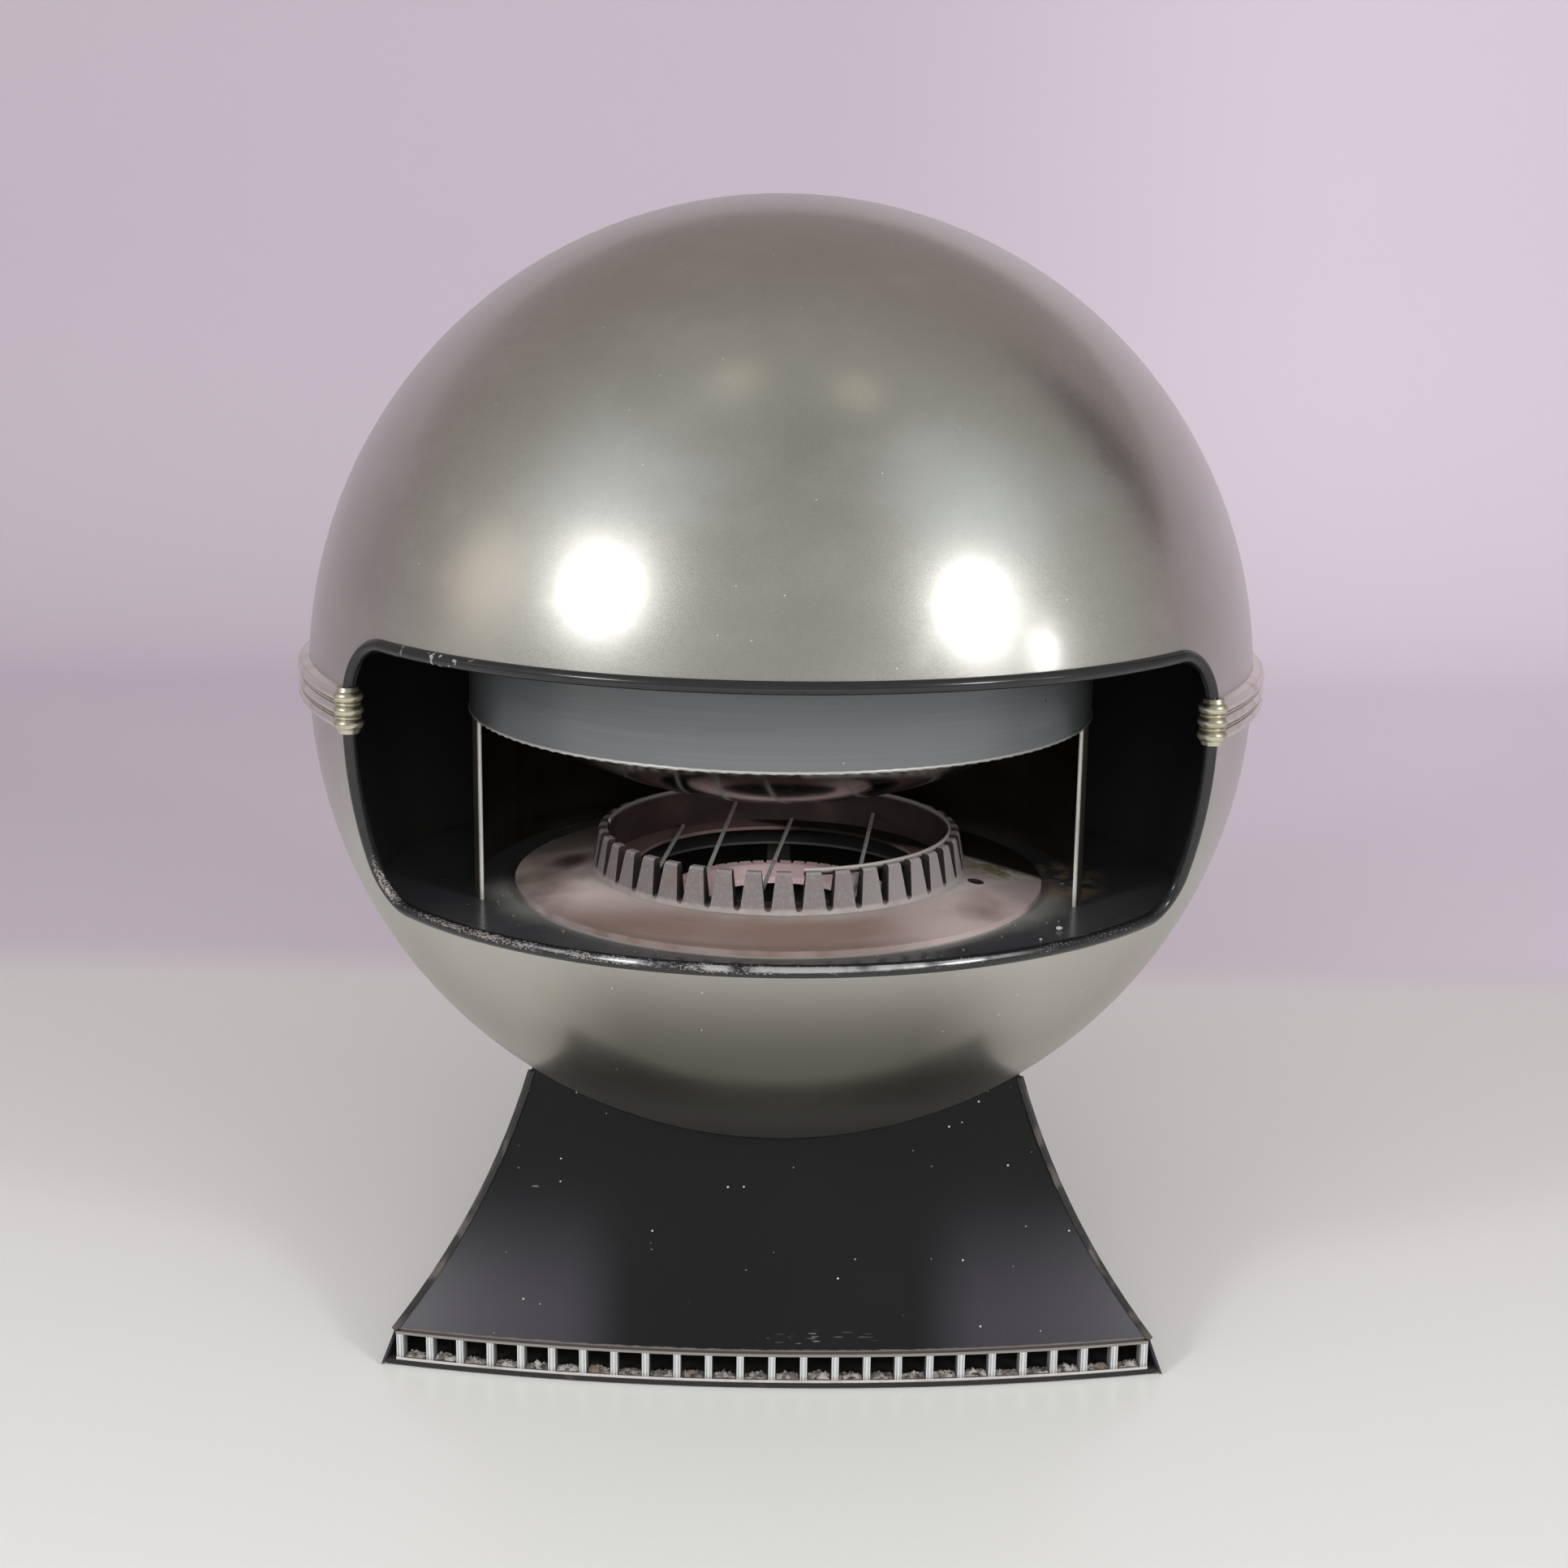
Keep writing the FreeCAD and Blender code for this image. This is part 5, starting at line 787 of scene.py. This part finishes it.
def dress_nodes():
    """Finishes of every node in the frame."""
    knob = moulded_plastic("knob_black", (0.020, 0.020, 0.021), (0.045, 0.044, 0.043), 0.42)
    button = moulded_plastic("button_red", (0.46, 0.035, 0.028), (0.34, 0.03, 0.026), 0.28)
    sleeve = moulded_plastic("lead_sleeve", (0.36, 0.07, 0.05), (0.24, 0.06, 0.045), 0.6)
    dress(ball_nickel(), "upper_shell", "lower_shell")
    dress(trim_nickel(), "trim_band")
    dress(cap_brass(), "trim_cap_left", "trim_cap_right")
    dress(worn_bead(), "mouth_bead")
    dress(hearth_black(), "hearth_floor")
    dress(plate_enamel(), "burner_plate")
    dress(crown_iron(), "flame_crown")
    dress(liner_sheet(), "crown_liner")
    dress(bright_wire(), "grate_wires")
    dress(burner_iron(), "burner_cap")
    dress(browned_mirror(), "reflector")
    dress(hood_lacquer(), "hood")
    dress(bowl_polish(), "deflector_bowl")
    dress(base_lacquer("front_lacquer", PANEL_FOOT), "front_panel")
    dress(base_lacquer("rear_lacquer", REAR_FOOT), "right_rear_panel", "left_rear_panel")
    dress(strip_lacquer(), "corner_strips")
    dress(tray_black(), "base_tray")
    dress(ribbed_aluminium(), "grille_slats")
    dress(rail_aluminium(), "grille_rails")
    dress(flue_black(), "flue_pipe", "flue_collar", "flue_spigot", "burner_pan", "burner_hangers")
    dress(control_aluminium(), "control_plate")
    dress(valve_casting(), "gas_valve")
    dress(knob, "control_knob", "igniter_body")
    dress(button, "igniter_button")
    dress(sleeve, "ignition_lead")
    dress(glazed_ceramic(), "spark_electrode")
    dress(foot_rubber(), "feet")
    dress(gas_brass(), "injector", "pilot_burner", "safety_plunger", "valve_spindle", "inlet_union")
    dress(gas_copper(), "thermocouple", "inlet_pipe", "supply_pipe", "pilot_pipe", "thermocouple_lead")
    dress(
        plain_steel(), "joint_ring", "joint_screws", "hearth_brackets", "hood_brackets", "bowl_hangers",
        "venturi", "pilot_bracket", "saddle_ring", "saddle_legs", "valve_bracket",
    )
    paint_inside()
    paint_hems()


def paint_inside():
    """Black paint on the inner faces and cut edges of the ball's two halves."""
    black = ball_inside()
    sheet = 0.0005
    for name in ("upper_shell", "lower_shell"):
        dress_faces(black, name, lambda middle: (middle - BALL_CENTRE).length < BALL_RADIUS - sheet)


def paint_hems():
    """Painted highlight on the two rolled front edges of the reflector."""
    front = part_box("reflector")[0].y
    hem = 0.0032
    dress_faces(hem_painted_highlight(), "reflector", lambda middle: middle.y < front + hem)


# Pieces added to the frame


def smooth_object(name, shape, finish):
    """New smooth mesh object in the scene, made from a filled bmesh."""
    mesh = bpy.data.meshes.new(name)
    shape.to_mesh(mesh)
    shape.free()
    mesh.materials.append(finish)
    for face in mesh.polygons:
        face.use_smooth = True
    made = bpy.data.objects.new(name, mesh)
    bpy.context.scene.collection.objects.link(made)
    return made


def add_piece(name, shape, finish, body):
    """New piece of the object that rides on a body."""
    piece = smooth_object(name, shape, finish)
    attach(piece, body)
    return piece


def spot_on(node, across, down):
    """Place and outward normal on a node of the dial, straight in from outside."""
    start = KNOB_SEAT + DIAL_ACROSS * across + DIAL_DOWN * down + KNOB_OUT * RAY_START
    found, place, normal, _ = NODES[node].ray_cast(start, -KNOB_OUT)
    if not found:
        raise ValueError(f"nothing of {node} at {across}, {down}")
    return place, normal


def loft(shape, rings):
    """Closed skin through rings of points, capped at both ends."""
    rows = [[shape.verts.new(point) for point in ring] for ring in rings]
    for low, high in zip(rows, rows[1:]):
        for here, there in zip(range(len(low)), [*range(1, len(low)), 0]):
            shape.faces.new((low[here], low[there], high[there], high[here]))
    shape.faces.new(rows[0][::-1])
    shape.faces.new(rows[-1])


def screw_head(shape, place, normal, turn):
    """Domed screw head with a slot: a thin disc that carries two rounded halves."""
    steps = 20
    sections = ((0.30, 1.0), (0.62, 0.98), (0.86, 0.84), (1.0, 0.55))
    stand = Matrix.Translation(place) @ normal.to_track_quat("Z", "Y").to_matrix().to_4x4()
    stand = stand @ Matrix.Rotation(turn, 4, "Z")
    circle = [2 * math.pi * step / (2 * steps) for step in range(2 * steps)]
    disc = [(-0.3, 0.97), (0.22, 1.0), (0.36, 0.97)]
    loft(shape, [
        [stand @ Vector((
            share * SCREW_RADIUS * math.cos(a),
            share * SCREW_RADIUS * math.sin(a),
            z * SCREW_HEIGHT,
        )) for a in circle]
        for z, share in disc
    ])
    for side in (1, -1):
        arc = [math.pi * (step / steps - 0.5 * side) for step in range(steps + 1)]
        loft(shape, [
            [stand @ Vector((
                side * max(SCREW_SLOT / 2, side * share * SCREW_RADIUS * math.cos(a)),
                share * SCREW_RADIUS * math.sin(a),
                z * SCREW_HEIGHT,
            )) for a in arc]
            for z, share in sections
        ])


def raised_line(shape, node, angle, start, length, width):
    """Thin raised bar that runs out from the dial's centre and follows the surface under it."""
    steps = 6
    along = (math.cos(angle), math.sin(angle))
    beside = DIAL_ACROSS * -along[1] + DIAL_DOWN * along[0]
    rings = []
    for step in range(steps + 1):
        reach = start + length * step / steps
        place, normal = spot_on(node, reach * along[0], reach * along[1])
        low, high = place - normal * MARK_HEIGHT, place + normal * MARK_HEIGHT
        half = beside * (width / 2)
        rings.append([low - half, low + half, high + half * 0.8, high - half * 0.8])
    loft(shape, rings)


def control_details():
    """Screws and plain marks on the control plate, and the knob's line."""
    draw = random.Random(5)
    screws = bmesh.new()
    for across, down in SCREW_PLACES:
        screw_head(screws, *spot_on("control_plate", across, down), draw.uniform(0, math.pi))
    add_piece("plate_screws", screws, screw_steel(), "heater")
    ink = moulded_plastic("dial_ink", (0.018, 0.018, 0.018), (0.050, 0.049, 0.047), 0.5)
    first = math.pi / 2 + (2 * math.pi - KNOB_SWEEP) / 2
    marks = bmesh.new()
    for mark in range(DIAL_MARKS):
        angle = first + KNOB_SWEEP * mark / (DIAL_MARKS - 1)
        longer = 1.5 if mark in (0, DIAL_MARKS - 1) else 1.0
        raised_line(marks, "control_plate", angle, MARK_RADIUS, MARK_LENGTH * longer, MARK_WIDTH * longer)
    add_piece("dial_marks", marks, ink, "heater")
    line = bmesh.new()
    raised_line(line, "control_knob", first, LINE_START, LINE_LENGTH, 2 * MARK_WIDTH)
    add_piece("knob_line", line, white_paint(), "knob")


def slat_openings():
    """Angles round the grille's bow at which each opening between two slats starts and ends."""
    middle = SLAT_FRONT + GRILLE_BOW
    vertices = NODES["grille_slats"].data.vertices
    angles = sorted(math.atan2(vertex.co.x, middle - vertex.co.y) for vertex in vertices)
    return [(low, high) for low, high in zip(angles, angles[1:]) if (high - low) * GRILLE_BOW > SLAT_GAP]


def tuft(shape, start, end):
    """Lumpy fluff on the lower rail between two angles, thin where it meets the slats."""
    centre = Vector((0, SLAT_FRONT + GRILLE_BOW, SLAT_FOOT))
    rings = []
    for column in range(FLUFF_COLUMNS + 1):
        share = column / FLUFF_COLUMNS
        angle = start + (end - start) * share
        outward = Vector((math.sin(angle), -math.cos(angle), 0))
        ring = []
        for row in range(FLUFF_ROWS + 1):
            place = centre + outward * (GRILLE_BOW - FLUFF_FRONT - FLUFF_DEPTH * row / FLUFF_ROWS)
            rise = math.sin(math.pi * (0.06 + 0.84 * row / FLUFF_ROWS))
            swell = rise * math.sin(math.pi * (0.1 + 0.8 * share)) ** 0.5
            lump = 0.5 + 0.5 * noise.fractal(place * 75, 0.8, 2.1, 4)
            wisp = abs(noise.fractal(Vector((place.x * 260, place.y * 520, 3)), 0.7, 2.2, 4))
            height = FLUFF_HEIGHT * swell * (0.75 * max(0.0, lump - 0.15) + 0.65 * wisp)
            ring.append(place + UP * max(0.0001, height))
        foot = [Vector((point.x, point.y, SLAT_FOOT)) for point in (ring[-1], ring[0])]
        rings.append(ring + foot)
    loft(shape, rings)


def dust_bed():
    """Fluff in each opening of the grille."""
    shape = bmesh.new()
    margin = FLUFF_CLEARANCE / GRILLE_BOW
    for start, end in slat_openings():
        tuft(shape, start + margin, end - margin)
    bmesh.ops.recalc_face_normals(shape, faces=shape.faces)
    add_piece("dust_bed", shape, dust_felt(), "heater")


def crumb(shape, draw, place, size):
    """Small irregular grain that rests on the floor under it."""
    grain = bmesh.ops.create_icosphere(shape, subdivisions=2, radius=size)["verts"]
    shift = Vector((draw.uniform(0, 9), draw.uniform(0, 9), draw.uniform(0, 9)))
    for vert in grain:
        vert.co *= 1 + 0.45 * noise.noise(vert.co / size + shift)
        vert.co.z *= 0.6
    sunk = min(vert.co.z for vert in grain)
    for vert in grain:
        vert.co += place - UP * (sunk + 0.1 * size)


def hearth_crumbs():
    """Flakes of rust on the hearth beside the burner plate, and two white crumbs."""
    draw = random.Random(11)
    flakes = bmesh.new()
    for _ in range(CRUMB_COUNT):
        side = draw.choice((-1, 1))
        angle = side * math.radians(draw.uniform(*CRUMB_ANGLES))
        reach = PLATE_RADIUS + CRUMB_GAP + abs(draw.gauss(0, CRUMB_SPREAD))
        place = Vector((math.sin(angle) * reach, -math.cos(angle) * reach, HEARTH_TOP))
        crumb(flakes, draw, place, draw.uniform(*CRUMB_SIZES))
    rust = dry_flake("rust_flake", (0.22, 0.19, 0.16))
    add_piece("hearth_crumbs", flakes, rust, "heater")
    white = bmesh.new()
    for x, y, size in WHITE_CRUMBS:
        crumb(white, draw, Vector((x, y, HEARTH_TOP)), size)
    lime = dry_flake("lime_flake", (0.72, 0.71, 0.68))
    add_piece("white_crumbs", white, lime, "heater")


# Floor, light and camera


def studio_paint():
    """Pale grey paint with a faint grain, lilac behind the part and brighter towards the right."""
    finish = Finish("studio_paint", (0.79, 0.79, 0.775), roughness=0.27, Specular_IOR_Level=0.35)
    grain = finish.ramp(finish.noise(260, detail=3), 0.30, 0.70)
    finish.layer(grain, Base_Color=(0.781, 0.781, 0.766))
    lilac = finish.ramp(finish.along("Y"), LILAC_START, LILAC_END)
    finish.layer(lilac, Base_Color=(0.73, 0.64, 0.73), Roughness=0.7)
    lit = finish.both(lilac, finish.ramp(finish.along("X"), 0.0, 1.1))
    finish.layer(lit, Base_Color=(0.90, 0.79, 0.90))
    return finish.material


def studio_floor():
    """Pale floor that sweeps up into a pale lilac wall."""
    shape = bmesh.new()
    profile = [(-FLOOR_REACH, 0.0), (WALL_Y - COVE_RADIUS, 0.0)]
    for step in range(1, COVE_STEPS + 1):
        angle = math.pi / 2 * step / COVE_STEPS
        profile.append((WALL_Y - COVE_RADIUS * (1 - math.sin(angle)), COVE_RADIUS * (1 - math.cos(angle))))
    profile.append((WALL_Y, WALL_HEIGHT))
    rows = [[shape.verts.new((side * FLOOR_REACH, y, z)) for side in (-1, 1)] for y, z in profile]
    for low, high in zip(rows, rows[1:]):
        shape.faces.new((low[0], low[1], high[1], high[0]))
    floor = smooth_object("studio_floor", shape, studio_paint())


def softbox(name, direction, width, height, power, mirrored):
    """Area lamp on a line from the ball's centre, facing the ball, seen in polished metal or not."""
    lamp = bpy.data.lights.new(name, "AREA")
    lamp.shape = "RECTANGLE"
    lamp.size = width
    lamp.size_y = height
    lamp.energy = power
    light = bpy.data.objects.new(name, lamp)
    light.location = BALL_CENTRE + Vector(direction).normalized() * LIGHT_DISTANCE
    light.rotation_euler = (BALL_CENTRE - light.location).to_track_quat("-Z", "Y").to_euler()
    light.visible_glossy = mirrored
    bpy.context.scene.collection.objects.link(light)


def studio_light():
    """Softboxes on both sides, fill that only matt surfaces show, and a room that is dimmer behind."""
    for lamp in LAMPS:
        softbox(*lamp)
    room = Room("studio_room", ROOM_FRONT)
    room.layer(room.ramp(room.along("Y"), -0.15, 0.50), Color=ROOM_BACK)
    for direction, weights, radius, colour in ROOM_PATCHES:
        room.layer(room.ramp(room.away(direction, weights), radius, PATCH_CORE * radius), Color=colour)


def studio_camera():
    """Camera at the photograph's place."""
    camera = bpy.data.objects.new("studio_camera", bpy.data.cameras.new("studio_camera"))
    camera.data.lens = CAMERA_LENS
    turn = (
        Matrix.Rotation(-CAMERA_YAW, 4, "Z")
        @ Matrix.Rotation(math.pi / 2 - CAMERA_PITCH, 4, "X")
        @ Matrix.Rotation(CAMERA_ROLL, 4, "Z")
    )
    camera.matrix_world = Matrix.Translation(CAMERA_EYE) @ turn
    bpy.context.scene.collection.objects.link(camera)
    bpy.context.scene.camera = camera


dress_nodes()
dust_bed()
hearth_crumbs()
control_details()
studio_floor()
studio_light()
studio_camera()
bpy.context.scene.view_settings.view_transform = "Standard"
